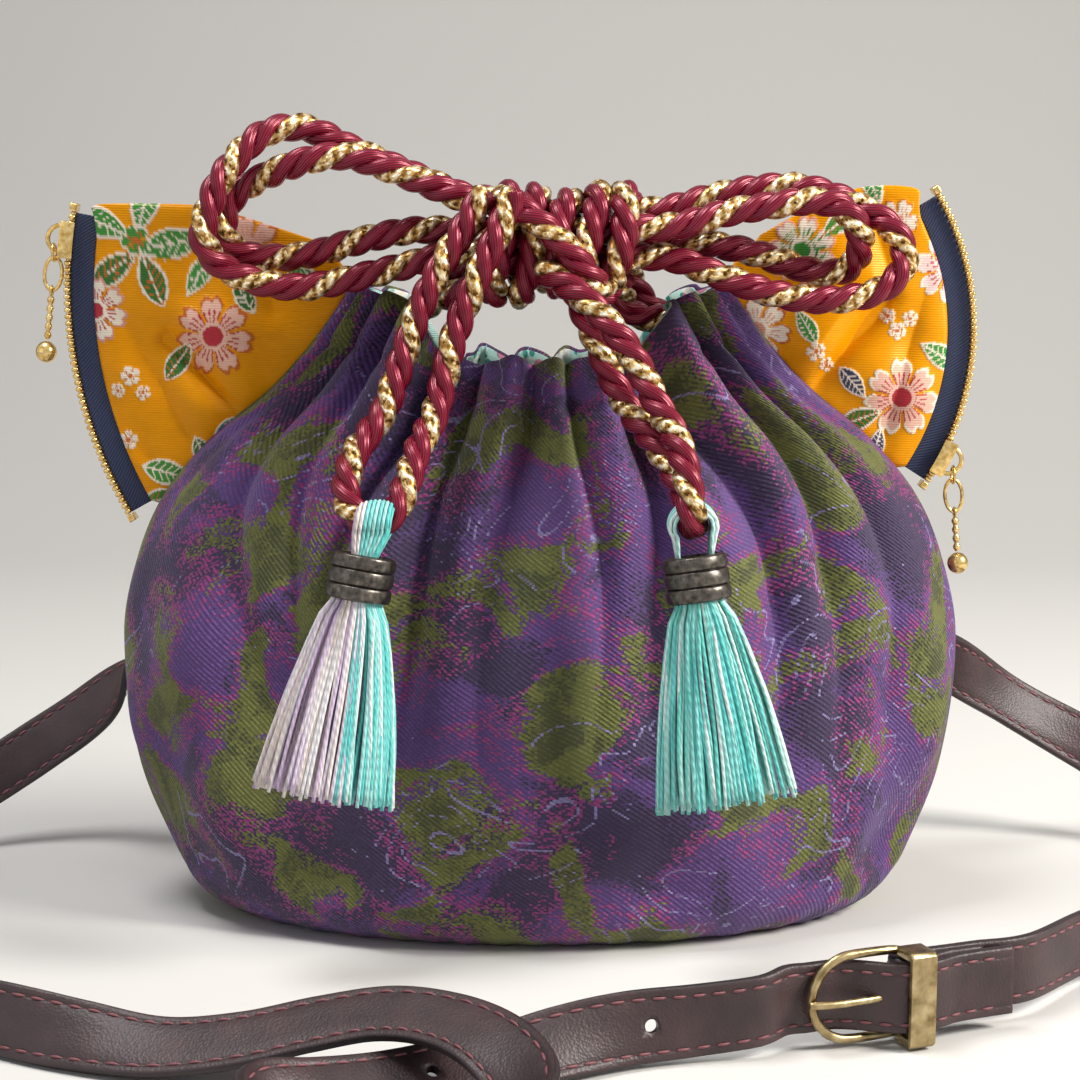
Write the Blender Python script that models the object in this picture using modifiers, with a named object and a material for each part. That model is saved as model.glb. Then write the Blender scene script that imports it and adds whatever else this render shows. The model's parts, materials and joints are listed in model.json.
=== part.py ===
# Drawstring shoulder bag: a gathered pouch with two zipped side pockets, a bow of doubled
# twisted cord, two tassels and a leather shoulder strap with a buckle.
# Units are metres, +Z is up, the bag faces -Y and stands on its flat base at the origin.

import bpy
import bmesh
import math
from mathutils import Matrix, Vector

MM = 0.001

# Cloth pouch
MOUTH_HEIGHT = 0.141        # height of the gathered mouth at the middle of each panel
HORN_RISE = 0.015           # how far the mouth stands up at its two side ends
PANEL_THICKNESS = 0.0014
LINING_THICKNESS = 0.0008
BASE_THICKNESS = 0.0016
SEAM_GAP = 0.0003
SEAM_ALLOWANCE = 0.0009      # room for the wall to turn in at each side seam
MAIN_FOLD_DEPTH = 0.0050
GATHER_DEPTH = 0.0024
MAIN_FOLDS = 7              # deep soft folds across one panel
GATHERS = 15                # fine gathers across one panel at the mouth
LINING_TOP_BELOW_EDGE = 0.0010
LINING_CLEARANCE = 0.0018   # between the deepest fold and the lining
PANEL_COLUMNS = 44
PANEL_ROWS = [0.0, 0.03, 0.09, 0.20, 0.34, 0.50, 0.62, 0.73, 0.83, 0.92, 1.0]
LINING_COLUMNS = 36
LINING_ROWS = [0.0, 0.05, 0.16, 0.34, 0.52, 0.68, 0.84, 1.0]
# Share of the height, half width, half depth
POUCH_SECTIONS = [
    (0.00, 0.0800, 0.0420), (0.03, 0.0870, 0.0480), (0.08, 0.0930, 0.0525),
    (0.23, 0.1020, 0.0580), (0.44, 0.1052, 0.0585), (0.57, 0.1010, 0.0540),
    (0.67, 0.0940, 0.0485), (0.76, 0.0820, 0.0425), (0.84, 0.0670, 0.0360),
    (0.92, 0.0560, 0.0305), (1.00, 0.0470, 0.0260),
]

# Side pockets and their curved zips, in the X-Z plane. A zip's arc starts at its lower end,
# a little out from the pouch's side, and runs between two compass angles round its centre.
ZIP_LEFT = {"side": -1.0, "foot_below_mouth": 0.0423, "foot_out": 0.0066, "radius": 0.1115,
            "top_deg": 169.0, "bottom_deg": 209.0, "slider_deg": 172.6, "hang_deg": 236.0,
            "lean_deg": 7.0, "beads": 5}
ZIP_RIGHT = {"side": 1.0, "foot_below_mouth": 0.0342, "foot_out": 0.0051, "radius": 0.0678,
             "top_deg": 31.0, "bottom_deg": -33.0, "slider_deg": -27.0, "hang_deg": 293.0,
             "lean_deg": -5.0, "beads": 4}
# Pocket: how far its lower corner lies below the mouth, its upper inner corner (x, height over
# the mouth), and its top edge as shares of the way to the zip with a rise over the straight line
POCKET_LEFT = {"bottom_below_mouth": 0.0398, "inner_top": (-0.0519, 0.0248),
               "top_edge": [(0.39, 0.0046), (0.56, 0.0059), (1.00, 0.0031)]}
POCKET_RIGHT = {"bottom_below_mouth": 0.0305, "inner_top": (0.0543, 0.0273),
                "top_edge": [(0.36, 0.0051), (0.67, 0.0073), (1.00, 0.0047)]}
POCKET_HALF_THICKNESS = 0.0042
POCKET_EDGE_HALF_THICKNESS = 0.0010
POCKET_GAP = 0.0009
POCKET_STEPS_UP = 12
POCKET_STEPS_OUT = 8
POCKET_EDGE_STEP = 0.0005
TAPE_BAND = 0.0055
TAPE_THICKNESS = 0.0007
TAPE_OFFSET = 0.0008
TEETH_HEIGHT = 0.0018       # along the arc's radius
TEETH_WIDTH = 0.0020        # of one row, across the zip
TEETH_PER_ROW = 16
STOP_LENGTH = 0.0022
SLIDER_LENGTH = 0.0090
SLIDER_WALL = 0.0009
SLIDER_CLEARANCE = 0.0004
BAIL_RADIUS = 0.0034
BAIL_WIRE = 0.0006
LINK_RADIUS = 0.0022
LINK_WIRE = 0.0004
PULL_RING_HALF_WIDTH = 0.0022
PULL_RING_HALF_HEIGHT = 0.0042
PULL_WIRE = 0.00055
LINK_RISE = 0.0017
HOOK_RADIUS = 0.0012
HOOK_WIRE = 0.0004
BEAD_RADIUS = 0.0010
BEAD_PITCH = 0.0022
BALL_RADIUS = 0.00275

# Twisted cord and its bow
CORD_DIAMETER = 0.0070
KNOT_CENTRE = (0.0060, -0.0170, 0.1655)
KNOT_HALF_LENGTH = 0.0200
KNOT_HALF_DEPTH = 0.0105
KNOT_HALF_HEIGHT = 0.0150
KNOT_TURNS = 6
LEFT_SIDE = KNOT_CENTRE[0] - KNOT_HALF_LENGTH - SEAM_GAP
RIGHT_SIDE = KNOT_CENTRE[0] + KNOT_HALF_LENGTH + SEAM_GAP
CORD_ROUTES = {
    "loop_left_outer": [
        (LEFT_SIDE, -0.0105, 0.1769), (-0.0165, -0.0105, 0.1769), (-0.0242, -0.0100, 0.1800),
        (-0.0362, -0.0100, 0.1850), (-0.0455, -0.0105, 0.1890), (-0.0539, -0.0120, 0.1930),
        (-0.0591, -0.0130, 0.1939), (-0.0651, -0.0150, 0.1926), (-0.0699, -0.0170, 0.1890),
        (-0.0737, -0.0190, 0.1843), (-0.0767, -0.0205, 0.1793), (-0.0799, -0.0210, 0.1700),
        (-0.0795, -0.0200, 0.1655), (-0.0767, -0.0180, 0.1615), (-0.0720, -0.0165, 0.1586),
        (-0.0645, -0.0155, 0.1564), (-0.0566, -0.0150, 0.1559), (-0.0481, -0.0150, 0.1573),
        (-0.0397, -0.0150, 0.1592), (-0.0312, -0.0158, 0.1613), (-0.0240, -0.0170, 0.1632),
        (-0.0168, -0.0175, 0.1640), (LEFT_SIDE, -0.0175, 0.1640)],
    "loop_left_inner": [
        (LEFT_SIDE, -0.0185, 0.1763), (-0.0165, -0.0185, 0.1763), (-0.0238, -0.0182, 0.1792),
        (-0.0356, -0.0180, 0.1838), (-0.0449, -0.0180, 0.1867), (-0.0527, -0.0180, 0.1864),
        (-0.0595, -0.0170, 0.1846), (-0.0661, -0.0140, 0.1821), (-0.0709, -0.0125, 0.1797),
        (-0.0742, -0.0120, 0.1769), (-0.0759, -0.0120, 0.1733), (-0.0763, -0.0115, 0.1693),
        (-0.0747, -0.0100, 0.1656), (-0.0699, -0.0093, 0.1632), (-0.0626, -0.0095, 0.1628),
        (-0.0549, -0.0105, 0.1638), (-0.0469, -0.0115, 0.1660), (-0.0397, -0.0125, 0.1678),
        (-0.0324, -0.0125, 0.1692), (-0.0240, -0.0118, 0.1696), (-0.0168, -0.0115, 0.1692),
        (LEFT_SIDE, -0.0115, 0.1692)],
    "loop_right_outer": [
        (RIGHT_SIDE, -0.0130, 0.1742), (0.0290, -0.0130, 0.1742), (0.0337, -0.0125, 0.1752),
        (0.0409, -0.0120, 0.1773), (0.0494, -0.0115, 0.1790), (0.0598, -0.0110, 0.1800),
        (0.0675, -0.0110, 0.1788), (0.0745, -0.0115, 0.1762), (0.0796, -0.0130, 0.1735),
        (0.0833, -0.0145, 0.1709), (0.0858, -0.0160, 0.1678), (0.0871, -0.0172, 0.1645),
        (0.0868, -0.0182, 0.1612), (0.0846, -0.0192, 0.1577), (0.0800, -0.0198, 0.1548),
        (0.0740, -0.0200, 0.1534), (0.0657, -0.0200, 0.1530), (0.0561, -0.0200, 0.1544),
        (0.0477, -0.0198, 0.1570), (0.0394, -0.0190, 0.1600), (0.0330, -0.0175, 0.1624),
        (0.0286, -0.0170, 0.1631), (RIGHT_SIDE, -0.0170, 0.1631)],
    "loop_right_inner": [
        (RIGHT_SIDE, -0.0210, 0.1700), (0.0290, -0.0210, 0.1700), (0.0356, -0.0206, 0.1712),
        (0.0451, -0.0197, 0.1737), (0.0558, -0.0195, 0.1754), (0.0646, -0.0195, 0.1763),
        (0.0712, -0.0197, 0.1751), (0.0750, -0.0197, 0.1712), (0.0768, -0.0170, 0.1669),
        (0.0763, -0.0140, 0.1628), (0.0738, -0.0120, 0.1599), (0.0678, -0.0115, 0.1592),
        (0.0593, -0.0115, 0.1616), (0.0503, -0.0115, 0.1644), (0.0415, -0.0110, 0.1660),
        (0.0339, -0.0098, 0.1668), (0.0288, -0.0095, 0.1668), (RIGHT_SIDE, -0.0095, 0.1668)],
    "lead_left_front": [
        (-0.0356, -0.0042, 0.1488), (-0.0322, -0.0042, 0.1488), (-0.0280, -0.0050, 0.1510),
        (-0.0240, -0.0076, 0.1528), (-0.0195, -0.0118, 0.1546), (-0.0162, -0.0145, 0.1556),
        (LEFT_SIDE, -0.0145, 0.1556)],
    "lead_left_back": [
        (-0.0356, 0.0042, 0.1488), (-0.0322, 0.0042, 0.1488), (-0.0280, 0.0024, 0.1526),
        (-0.0240, -0.0012, 0.1574), (-0.0195, -0.0059, 0.1600), (-0.0162, -0.0088, 0.1609),
        (LEFT_SIDE, -0.0088, 0.1609)],
    "lead_right_front": [
        (0.0356, -0.0042, 0.1480), (0.0320, -0.0040, 0.1480), (0.0270, -0.0040, 0.1480),
        (0.0236, -0.0046, 0.1488), (0.0214, -0.0060, 0.1506), (0.0203, -0.0081, 0.1526),
        (0.0200, -0.0100, 0.1542)],
    "lead_right_back": [
        (0.0356, 0.0042, 0.1480), (0.0320, 0.0041, 0.1481), (0.0270, 0.0038, 0.1508),
        (0.0236, 0.0034, 0.1560), (0.0214, 0.0016, 0.1606), (0.0203, -0.0020, 0.1628),
        (0.0200, -0.0062, 0.1630)],
    "tail_left": [
        (-0.0155, -0.0283, 0.1740), (-0.0183, -0.0290, 0.1690), (-0.0219, -0.0302, 0.1633),
        (-0.0254, -0.0311, 0.1568), (-0.0284, -0.0313, 0.1503), (-0.0312, -0.0318, 0.1426),
        (-0.0335, -0.0330, 0.1356), (-0.0363, -0.0350, 0.1278), (-0.0396, -0.0380, 0.1229),
        (-0.0424, -0.0416, 0.1190), (-0.0442, -0.0464, 0.1136), (-0.0440, -0.0505, 0.1085),
        (-0.0412, -0.0535, 0.1052), (-0.0375, -0.0545, 0.1043), (-0.0338, -0.0542, 0.1053),
        (-0.0316, -0.0522, 0.1089), (-0.0299, -0.0486, 0.1140), (-0.0283, -0.0442, 0.1191),
        (-0.0264, -0.0404, 0.1231), (-0.0248, -0.0375, 0.1262), (-0.0233, -0.0348, 0.1316),
        (-0.0219, -0.0334, 0.1373), (-0.0204, -0.0326, 0.1437), (-0.0183, -0.0322, 0.1496),
        (-0.0159, -0.0322, 0.1554), (-0.0134, -0.0322, 0.1614), (-0.0105, -0.0318, 0.1672),
        (-0.0078, -0.0304, 0.1735)],
    "tail_right": [
        (0.0040, -0.0299, 0.1582), (0.0079, -0.0334, 0.1555), (0.0121, -0.0366, 0.1521),
        (0.0159, -0.0386, 0.1480), (0.0197, -0.0398, 0.1432), (0.0227, -0.0410, 0.1385),
        (0.0249, -0.0422, 0.1340), (0.0267, -0.0440, 0.1302), (0.0283, -0.0462, 0.1273),
        (0.0298, -0.0488, 0.1249), (0.0310, -0.0518, 0.1223), (0.0319, -0.0551, 0.1194),
        (0.0328, -0.0582, 0.1154), (0.0335, -0.0606, 0.1105), (0.0340, -0.0608, 0.1065),
        (0.0344, -0.0572, 0.1037), (0.0345, -0.0530, 0.1045), (0.0330, -0.0494, 0.1097),
        (0.0300, -0.0458, 0.1157), (0.0271, -0.0430, 0.1199), (0.0249, -0.0402, 0.1228),
        (0.0226, -0.0373, 0.1256), (0.0204, -0.0346, 0.1286), (0.0181, -0.0322, 0.1325),
        (0.0158, -0.0304, 0.1376), (0.0134, -0.0290, 0.1433), (0.0110, -0.0275, 0.1486),
        (0.0090, -0.0262, 0.1533)],
}
CORD_POINT_SPACING = 0.0095

# Tassels: where the head loop hangs, which way the cord runs through it, where the skirt ends
TASSELS = {
    "left": {"eye": (-0.0376, -0.0548, 0.1037), "cord_along": "X", "collar": (-0.0404, -0.0576, 0.0919),
             "hem": (-0.0490, -0.0640, 0.0425)},
    "right": {"eye": (0.0344, -0.0570, 0.1037), "cord_along": "Y", "collar": (0.0352, -0.0590, 0.0919),
              "hem": (0.0422, -0.0650, 0.0415)},
}
EYE_RADIUS = 0.0064
EYE_WIDTH = 0.0084
EYE_CLEARANCE = 0.00035
NECK_RADIUS = 0.0058
COLLAR_RADIUS = 0.0075
COLLAR_LENGTH = 0.0105
COLLAR_WALL = 0.0012
SKIRT_HALF_WIDTH = 0.0165
SKIRT_DEPTH_SHARE = 0.52    # depth of the skirt's oval over its width

# Leather strap: x, y, z of its middle line, and how far its width leans from upright
STRAP_WIDTH = 0.0150
STRAP_THICKNESS = 0.0022
STRAP_POINT_SPACING = 0.0110
PUNCHED_HOLE_RADIUS = 0.0014
PUNCHED_HOLE_PITCH = 0.0480
PUNCHED_HOLES = 2
FIRST_HOLE_FROM_TIP = 0.0840

# Buckle, in its own frame: x along the strap, y towards the viewer, z up
BUCKLE_CENTRE = (0.0680, -0.1045, 0.0110)
BUCKLE_TURN_DEG = 21.0
BUCKLE_HALF_HEIGHT = 0.0092
BUCKLE_LEFT = -0.0125
BUCKLE_BAR = 0.0095
BUCKLE_WIRE = 0.0011
KEEPER_FRONT = 0.0070
KEEPER_THICKNESS = 0.0012
KEEPER_HALF_WIDTH = 0.0030
PRONG_WIRE = 0.0009
PRONG_SLOT = ((-0.0010, -0.0060, -0.0018), (0.0072, 0.0110, 0.0018))
EYE_SLOT = ((0.0020, -0.0062, -0.0022), (0.0150, 0.0045, 0.0022))

# Strap rings behind the bag
TAB_BELOW_MOUTH = 0.0530
TABS = {
    "left": {"at": (-0.0800, MOUTH_HEIGHT - TAB_BELOW_MOUTH), "pull": (-0.62, 0.12, -0.78)},
    "right": {"at": (0.0800, MOUTH_HEIGHT - TAB_BELOW_MOUTH), "pull": (0.62, 0.12, -0.78)},
}
TAB_STANDOFF = 0.0052
TAB_THICKNESS = 0.0014
TAB_LENGTH = 0.0200
TAB_SEAT = -0.0020          # of the sewn end from the wall without its folds: it lies in a fold
RING_HALF_WIDTH = 0.0095
RING_HALF_HEIGHT = 0.0058
RING_WIRE = 0.0012
RING_CLEARANCE = 0.0004
STRAP_FOLD_CLEARANCE = 0.0013   # lets the ring swing a little in the strap's fold
FOLD_RADIUS = RING_WIRE + STRAP_FOLD_CLEARANCE + 0.5 * STRAP_THICKNESS
TAB_FOLD_RADIUS = RING_WIRE + RING_CLEARANCE + 0.5 * TAB_THICKNESS
STRAP_FOLD_LENGTH = 0.0260
RIVET_BACK = 0.0170
RIVET_CAP = 0.0035
RIVET_CAP_HEIGHT = 0.0012
RIVET_SHANK = 0.0013


def clear_scene():
    for item in list(bpy.data.objects):
        bpy.data.objects.remove(item, do_unlink=True)


def new_collection(name):
    group = bpy.data.collections.new(name)
    bpy.context.scene.collection.children.link(group)
    return group


def material(name, colour, roughness, metallic=0.0):
    finish = bpy.data.materials.new(name)
    finish.use_nodes = True
    shader = finish.node_tree.nodes["Principled BSDF"]
    shader.inputs["Base Color"].default_value = (*colour, 1.0)
    shader.inputs["Roughness"].default_value = roughness
    shader.inputs["Metallic"].default_value = metallic
    finish.diffuse_color = (*colour, 1.0)
    return finish


def place(item, finish, group):
    """Put an object in one collection with one finish."""
    for owner in list(item.users_collection):
        owner.objects.unlink(item)
    group.objects.link(item)
    item.data.materials.clear()
    item.data.materials.append(finish)
    return item


def mesh_object(name, builder, finish, group):
    """Turn a bmesh into a named object with its faces pointing out."""
    bmesh.ops.recalc_face_normals(builder, faces=builder.faces)
    mesh = bpy.data.meshes.new(name)
    builder.to_mesh(mesh)
    builder.free()
    return place(bpy.data.objects.new(name, mesh), finish, group)


def smooth_step(low, high, value):
    share = min(1.0, max(0.0, (value - low) / (high - low)))
    return share * share * (3.0 - 2.0 * share)


def curve_value(table, column, at):
    """Smooth curve through one column of a table whose first column rises."""
    last = len(table) - 1
    if at <= table[0][0]:
        return table[0][column]
    if at >= table[last][0]:
        return table[last][column]
    index = max(i for i in range(last) if table[i][0] <= at)

    def slope(i):
        before, after = max(0, i - 1), min(last, i + 1)
        return (table[after][column] - table[before][column]) / (table[after][0] - table[before][0])

    span = table[index + 1][0] - table[index][0]
    t = (at - table[index][0]) / span
    return ((2 * t**3 - 3 * t * t + 1) * table[index][column] + (t**3 - 2 * t * t + t) * span * slope(index)
            + (-2 * t**3 + 3 * t * t) * table[index + 1][column] + (t**3 - t * t) * span * slope(index + 1))


def smooth_route(points, spacing):
    """Points about one spacing apart on the smooth curve through a route."""
    points = [Vector(p) for p in points]
    out = []
    for i in range(len(points) - 1):
        a, b = points[max(0, i - 1)], points[i]
        c, d = points[i + 1], points[min(len(points) - 1, i + 2)]
        steps = max(1, round((c - b).length / spacing))
        for k in range(steps):
            t = k / steps
            out.append(0.5 * ((2 * b) + (c - a) * t + (2 * a - 5 * b + 4 * c - d) * t * t
                              + (3 * b - 3 * c + d - a) * t**3))
    out.append(points[-1])
    return out


def loft(name, rings, finish, group):
    """A closed solid through rings of equal length, capped at both ends."""
    builder = bmesh.new()
    rows = [[builder.verts.new(point) for point in ring] for ring in rings]
    count = len(rows[0])
    for row, following in zip(rows, rows[1:]):
        for i in range(count):
            j = (i + 1) % count
            builder.faces.new((row[i], row[j], following[j], following[i]))
    for cap in (rows[0], rows[-1]):
        builder.faces.new(cap)
    return mesh_object(name, builder, finish, group)


def tube(name, points, radius, finish, group, closed=False, resolution=2):
    curve = bpy.data.curves.new(name, "CURVE")
    curve.dimensions = "3D"
    curve.bevel_depth = radius
    curve.bevel_resolution = resolution
    curve.use_fill_caps = not closed
    spline = curve.splines.new("POLY")
    spline.points.add(len(points) - 1)
    for target, point in zip(spline.points, points):
        target.co = (*point, 1.0)
    spline.use_cyclic_u = closed
    return place(bpy.data.objects.new(name, curve), finish, group)


def as_mesh(item, group):
    """The same shape as an ordinary mesh, with a curve's caps welded on."""
    bpy.context.view_layer.update()
    evaluated = item.evaluated_get(bpy.context.evaluated_depsgraph_get())
    mesh = bpy.data.meshes.new_from_object(evaluated)
    builder = bmesh.new()
    builder.from_mesh(mesh)
    bmesh.ops.remove_doubles(builder, verts=builder.verts, dist=0.00001)
    bmesh.ops.recalc_face_normals(builder, faces=builder.faces)
    builder.to_mesh(mesh)
    builder.free()
    name, finish, world = item.name, item.data.materials[0], item.matrix_world.copy()
    bpy.data.objects.remove(item, do_unlink=True)
    result = bpy.data.objects.new(name, mesh)
    result.matrix_world = world
    return place(result, finish, group)


def boolean(target, other, operation, keep_hidden):
    """Cut or join with another object, which is then left as a hidden guide."""
    modifier = target.modifiers.new(operation.lower(), "BOOLEAN")
    modifier.operation = operation
    modifier.object = other
    modifier.solver = "EXACT"
    place(other, other.data.materials[0], keep_hidden)
    other.hide_render = True
    other.display_type = "WIRE"


def ellipsoid(name, centre, radii, finish, group, segments=16, rings=8):
    builder = bmesh.new()
    bmesh.ops.create_uvsphere(builder, u_segments=segments, v_segments=rings, radius=1.0)
    bmesh.ops.scale(builder, verts=builder.verts, vec=radii)
    bmesh.ops.translate(builder, verts=builder.verts, vec=centre)
    return mesh_object(name, builder, finish, group)


def box(name, low, high, finish, group):
    builder = bmesh.new()
    bmesh.ops.create_cube(builder, size=1.0)
    bmesh.ops.scale(builder, verts=builder.verts, vec=[b - a for a, b in zip(low, high)])
    bmesh.ops.translate(builder, verts=builder.verts, vec=[(a + b) / 2 for a, b in zip(low, high)])
    return mesh_object(name, builder, finish, group)


def cylinder(name, centre, radius, depth, turn, finish, group, segments=16):
    """A round bar centred on a point, its axis +Z turned by a matrix."""
    builder = bmesh.new()
    bmesh.ops.create_cone(builder, cap_ends=True, segments=segments, radius1=radius, radius2=radius,
                          depth=depth)
    bmesh.ops.transform(builder, matrix=Matrix.Translation(centre) @ turn, verts=builder.verts)
    return mesh_object(name, builder, finish, group)


# Pouch

def mouth_height(turn):
    return MOUTH_HEIGHT + HORN_RISE * smooth_step(0.5, 0.8, abs(math.cos(turn)))


def fold_depth(share):
    """Deepest that a fold goes in at this share of the height."""
    main = MAIN_FOLD_DEPTH * smooth_step(0.25, 0.7, share) * (1.0 - 0.5 * smooth_step(0.85, 1.0, share))
    return main, GATHER_DEPTH * smooth_step(0.55, 0.9, share)


def pouch_point(turn, share, inward=0.0, folded=True):
    """A point of the pouch's outer surface, moved inward by a depth."""
    half_width = curve_value(POUCH_SECTIONS, 1, share)
    half_depth = curve_value(POUCH_SECTIONS, 2, share)
    if folded:
        side = (math.pi + turn) % math.pi / math.pi
        still = smooth_step(0.0, 0.25, abs(math.sin(turn)))
        main, gather = fold_depth(share)
        wander = 0.35 * math.sin(2.0 * math.pi * side) + 0.25 * math.sin(6.0 * math.pi * side)
        main_wave = 0.5 - 0.5 * math.cos(2.0 * math.pi * MAIN_FOLDS * side + wander)
        gather_wave = 0.5 - 0.5 * math.cos(2.0 * math.pi * GATHERS * side)
        inward += still * (main * main_wave + gather * gather_wave)
    normal = Vector((math.cos(turn) / half_width, math.sin(turn) / half_depth, 0.0)).normalized()
    point = Vector((half_width * math.cos(turn), half_depth * math.sin(turn), share * mouth_height(turn)))
    return point - normal * inward


def make_panel(name, start, finish, group):
    """One half of the pouch's wall, an open sheet given its thickness by Solidify."""
    builder = bmesh.new()
    rows = []
    for share in PANEL_ROWS:
        half_depth = curve_value(POUCH_SECTIONS, 2, share)
        inset = math.asin((0.5 * SEAM_GAP + SEAM_ALLOWANCE) / half_depth)
        row = []
        for k in range(PANEL_COLUMNS + 1):
            turn = start + inset + (math.pi - 2.0 * inset) * k / PANEL_COLUMNS
            row.append(builder.verts.new(pouch_point(turn, share)))
        rows.append(row)
    for row, following in zip(rows, rows[1:]):
        for i in range(PANEL_COLUMNS):
            builder.faces.new((row[i], row[i + 1], following[i + 1], following[i]))
    mesh = bpy.data.meshes.new(name)
    builder.to_mesh(mesh)
    builder.free()
    item = place(bpy.data.objects.new(name, mesh), finish, group)
    shell = item.modifiers.new("thickness", "SOLIDIFY")
    shell.thickness = PANEL_THICKNESS
    shell.offset = -1.0
    return item


def make_lining(finish, group):
    """The smooth inner bag: a closed cup of cloth, open at the mouth."""
    floor = BASE_THICKNESS + SEAM_GAP

    def ring(inward_extra, lowest):
        rows = []
        for share in LINING_ROWS:
            main, gather = fold_depth(share)
            inward = PANEL_THICKNESS + main + gather + 2.0 * SEAM_GAP + inward_extra
            row = []
            for k in range(LINING_COLUMNS):
                turn = 2.0 * math.pi * k / LINING_COLUMNS
                point = pouch_point(turn, share, inward, folded=False)
                top = mouth_height(turn) - LINING_TOP_BELOW_EDGE
                point.z = lowest + (top - lowest) * share
                row.append(point)
            rows.append(row)
        return rows

    outer = ring(LINING_CLEARANCE, floor)
    inner = ring(LINING_CLEARANCE + LINING_THICKNESS, floor + LINING_THICKNESS)
    return loft("lining", outer + inner[::-1], finish, group)


def make_base(finish, group):
    half_width = POUCH_SECTIONS[0][1] - 0.5 * PANEL_THICKNESS - SEAM_GAP
    half_depth = POUCH_SECTIONS[0][2] - 0.5 * PANEL_THICKNESS - SEAM_GAP
    builder = bmesh.new()
    bmesh.ops.create_cone(builder, cap_ends=True, segments=48, radius1=1.0, radius2=1.0,
                          depth=BASE_THICKNESS)
    bmesh.ops.scale(builder, verts=builder.verts, vec=(half_width, half_depth, 1.0))
    bmesh.ops.translate(builder, verts=builder.verts, vec=(0.0, 0.0, 0.5 * BASE_THICKNESS))
    return mesh_object("base_panel", builder, finish, group)


# Side pockets and zips

def side_line(height):
    """Half width of the pouch at its side seam."""
    return curve_value(POUCH_SECTIONS, 1, height / (MOUTH_HEIGHT + HORN_RISE))


def zip_centre(zip_set):
    """Centre of the zip's arc, found from the arc's lower end beside the pouch."""
    height = MOUTH_HEIGHT - zip_set["foot_below_mouth"]
    foot = Vector((zip_set["side"] * (side_line(height) + zip_set["foot_out"]), 0.0, height))
    angle = math.radians(zip_set["bottom_deg"])
    return foot - zip_set["radius"] * Vector((math.cos(angle), 0.0, math.sin(angle)))


def zip_point(zip_set, degrees, inward, across):
    """A point at an angle of the zip's arc, moved toward the arc's centre and across it."""
    angle = math.radians(degrees)
    reach = zip_set["radius"] - inward
    return zip_centre(zip_set) + Vector((reach * math.cos(angle), across, reach * math.sin(angle)))


def make_pocket(name, pocket, zip_set, finish, group):
    """A pocket pressed flat: thick in its middle, thin at its seams and at the zip."""
    band = TEETH_HEIGHT + TAPE_BAND
    sign = zip_set["side"]
    low = MOUTH_HEIGHT - pocket["bottom_below_mouth"]
    inner_low = Vector((sign * (side_line(low) + POCKET_GAP), 0.0, low))
    inner_top = Vector((pocket["inner_top"][0], 0.0, MOUTH_HEIGHT + pocket["inner_top"][1]))
    zip_top = zip_point(zip_set, zip_set["top_deg"], band, 0.0)
    top_curve = [inner_top]
    top_curve += [inner_top.lerp(zip_top, share) + Vector((0.0, 0.0, rise)) for share, rise in pocket["top_edge"]]
    top_curve.append(zip_top)
    bow = smooth_route(top_curve, POCKET_EDGE_STEP)
    rows = []
    for v in range(POCKET_STEPS_UP + 1):
        up = v / POCKET_STEPS_UP
        height = inner_low.z + (inner_top.z - inner_low.z) * up
        edge = abs(side_line(min(height, MOUTH_HEIGHT + HORN_RISE))) + POCKET_GAP
        free = smooth_step(0.8, 1.0, up)
        inner = Vector((sign * (edge + free * (abs(inner_top.x) - edge)), 0.0, height))
        degrees = zip_set["bottom_deg"] + (zip_set["top_deg"] - zip_set["bottom_deg"]) * up
        outer = zip_point(zip_set, degrees, band, 0.0)
        front, back = [], []
        for u in range(POCKET_STEPS_OUT + 1):
            out = u / POCKET_STEPS_OUT
            point = inner.lerp(outer, out)
            target = bow[round(out * (len(bow) - 1))]
            point = point.lerp(target, smooth_step(0.75, 1.0, up))
            swell = max(0.0, math.sin(math.pi * out)) ** 0.7 * max(0.0, math.sin(math.pi * up)) ** 0.6
            half = POCKET_EDGE_HALF_THICKNESS + (POCKET_HALF_THICKNESS - POCKET_EDGE_HALF_THICKNESS) * swell
            front.append(point + Vector((0.0, -half, 0.0)))
            back.append(point + Vector((0.0, half, 0.0)))
        rows.append(front + back[::-1])
    return loft(name, rows, finish, group)


def make_tape(name, side, zip_set, finish, group):
    """The tape of one zip half, from the pocket's edge to its row of teeth."""
    rings = []
    steps = 20
    outside = POCKET_EDGE_HALF_THICKNESS - TAPE_THICKNESS
    for k in range(steps + 1):
        degrees = zip_set["bottom_deg"] + (zip_set["top_deg"] - zip_set["bottom_deg"]) * k / steps
        near = TEETH_HEIGHT + SEAM_GAP
        far = TEETH_HEIGHT + TAPE_BAND - SEAM_GAP
        rings.append([
            zip_point(zip_set, degrees, near, side * 0.5 * SEAM_GAP),
            zip_point(zip_set, degrees, near, side * (0.5 * SEAM_GAP + TAPE_THICKNESS)),
            zip_point(zip_set, degrees, far, side * (outside + TAPE_THICKNESS)),
            zip_point(zip_set, degrees, far, side * outside),
        ])
    return loft(name, rings, finish, group)


def make_teeth(name, side, zip_set, finish, group):
    """One row of teeth: a bar with a ridge for each tooth."""
    rings = []
    for k in range(2 * TEETH_PER_ROW + 1):
        share = k / (2 * TEETH_PER_ROW)
        degrees = zip_set["bottom_deg"] + (zip_set["top_deg"] - zip_set["bottom_deg"]) * share
        tooth = k % 2
        width = TEETH_WIDTH if tooth else 0.7 * TEETH_WIDTH
        inset = 0.0 if tooth else 0.25 * TEETH_HEIGHT
        near, far = side * 0.5 * SEAM_GAP, side * (0.5 * SEAM_GAP + width)
        rings.append([zip_point(zip_set, degrees, inset, near), zip_point(zip_set, degrees, inset, far),
                      zip_point(zip_set, degrees, TEETH_HEIGHT, far),
                      zip_point(zip_set, degrees, TEETH_HEIGHT, near)])
    return loft(name, rings, finish, group)


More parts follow.
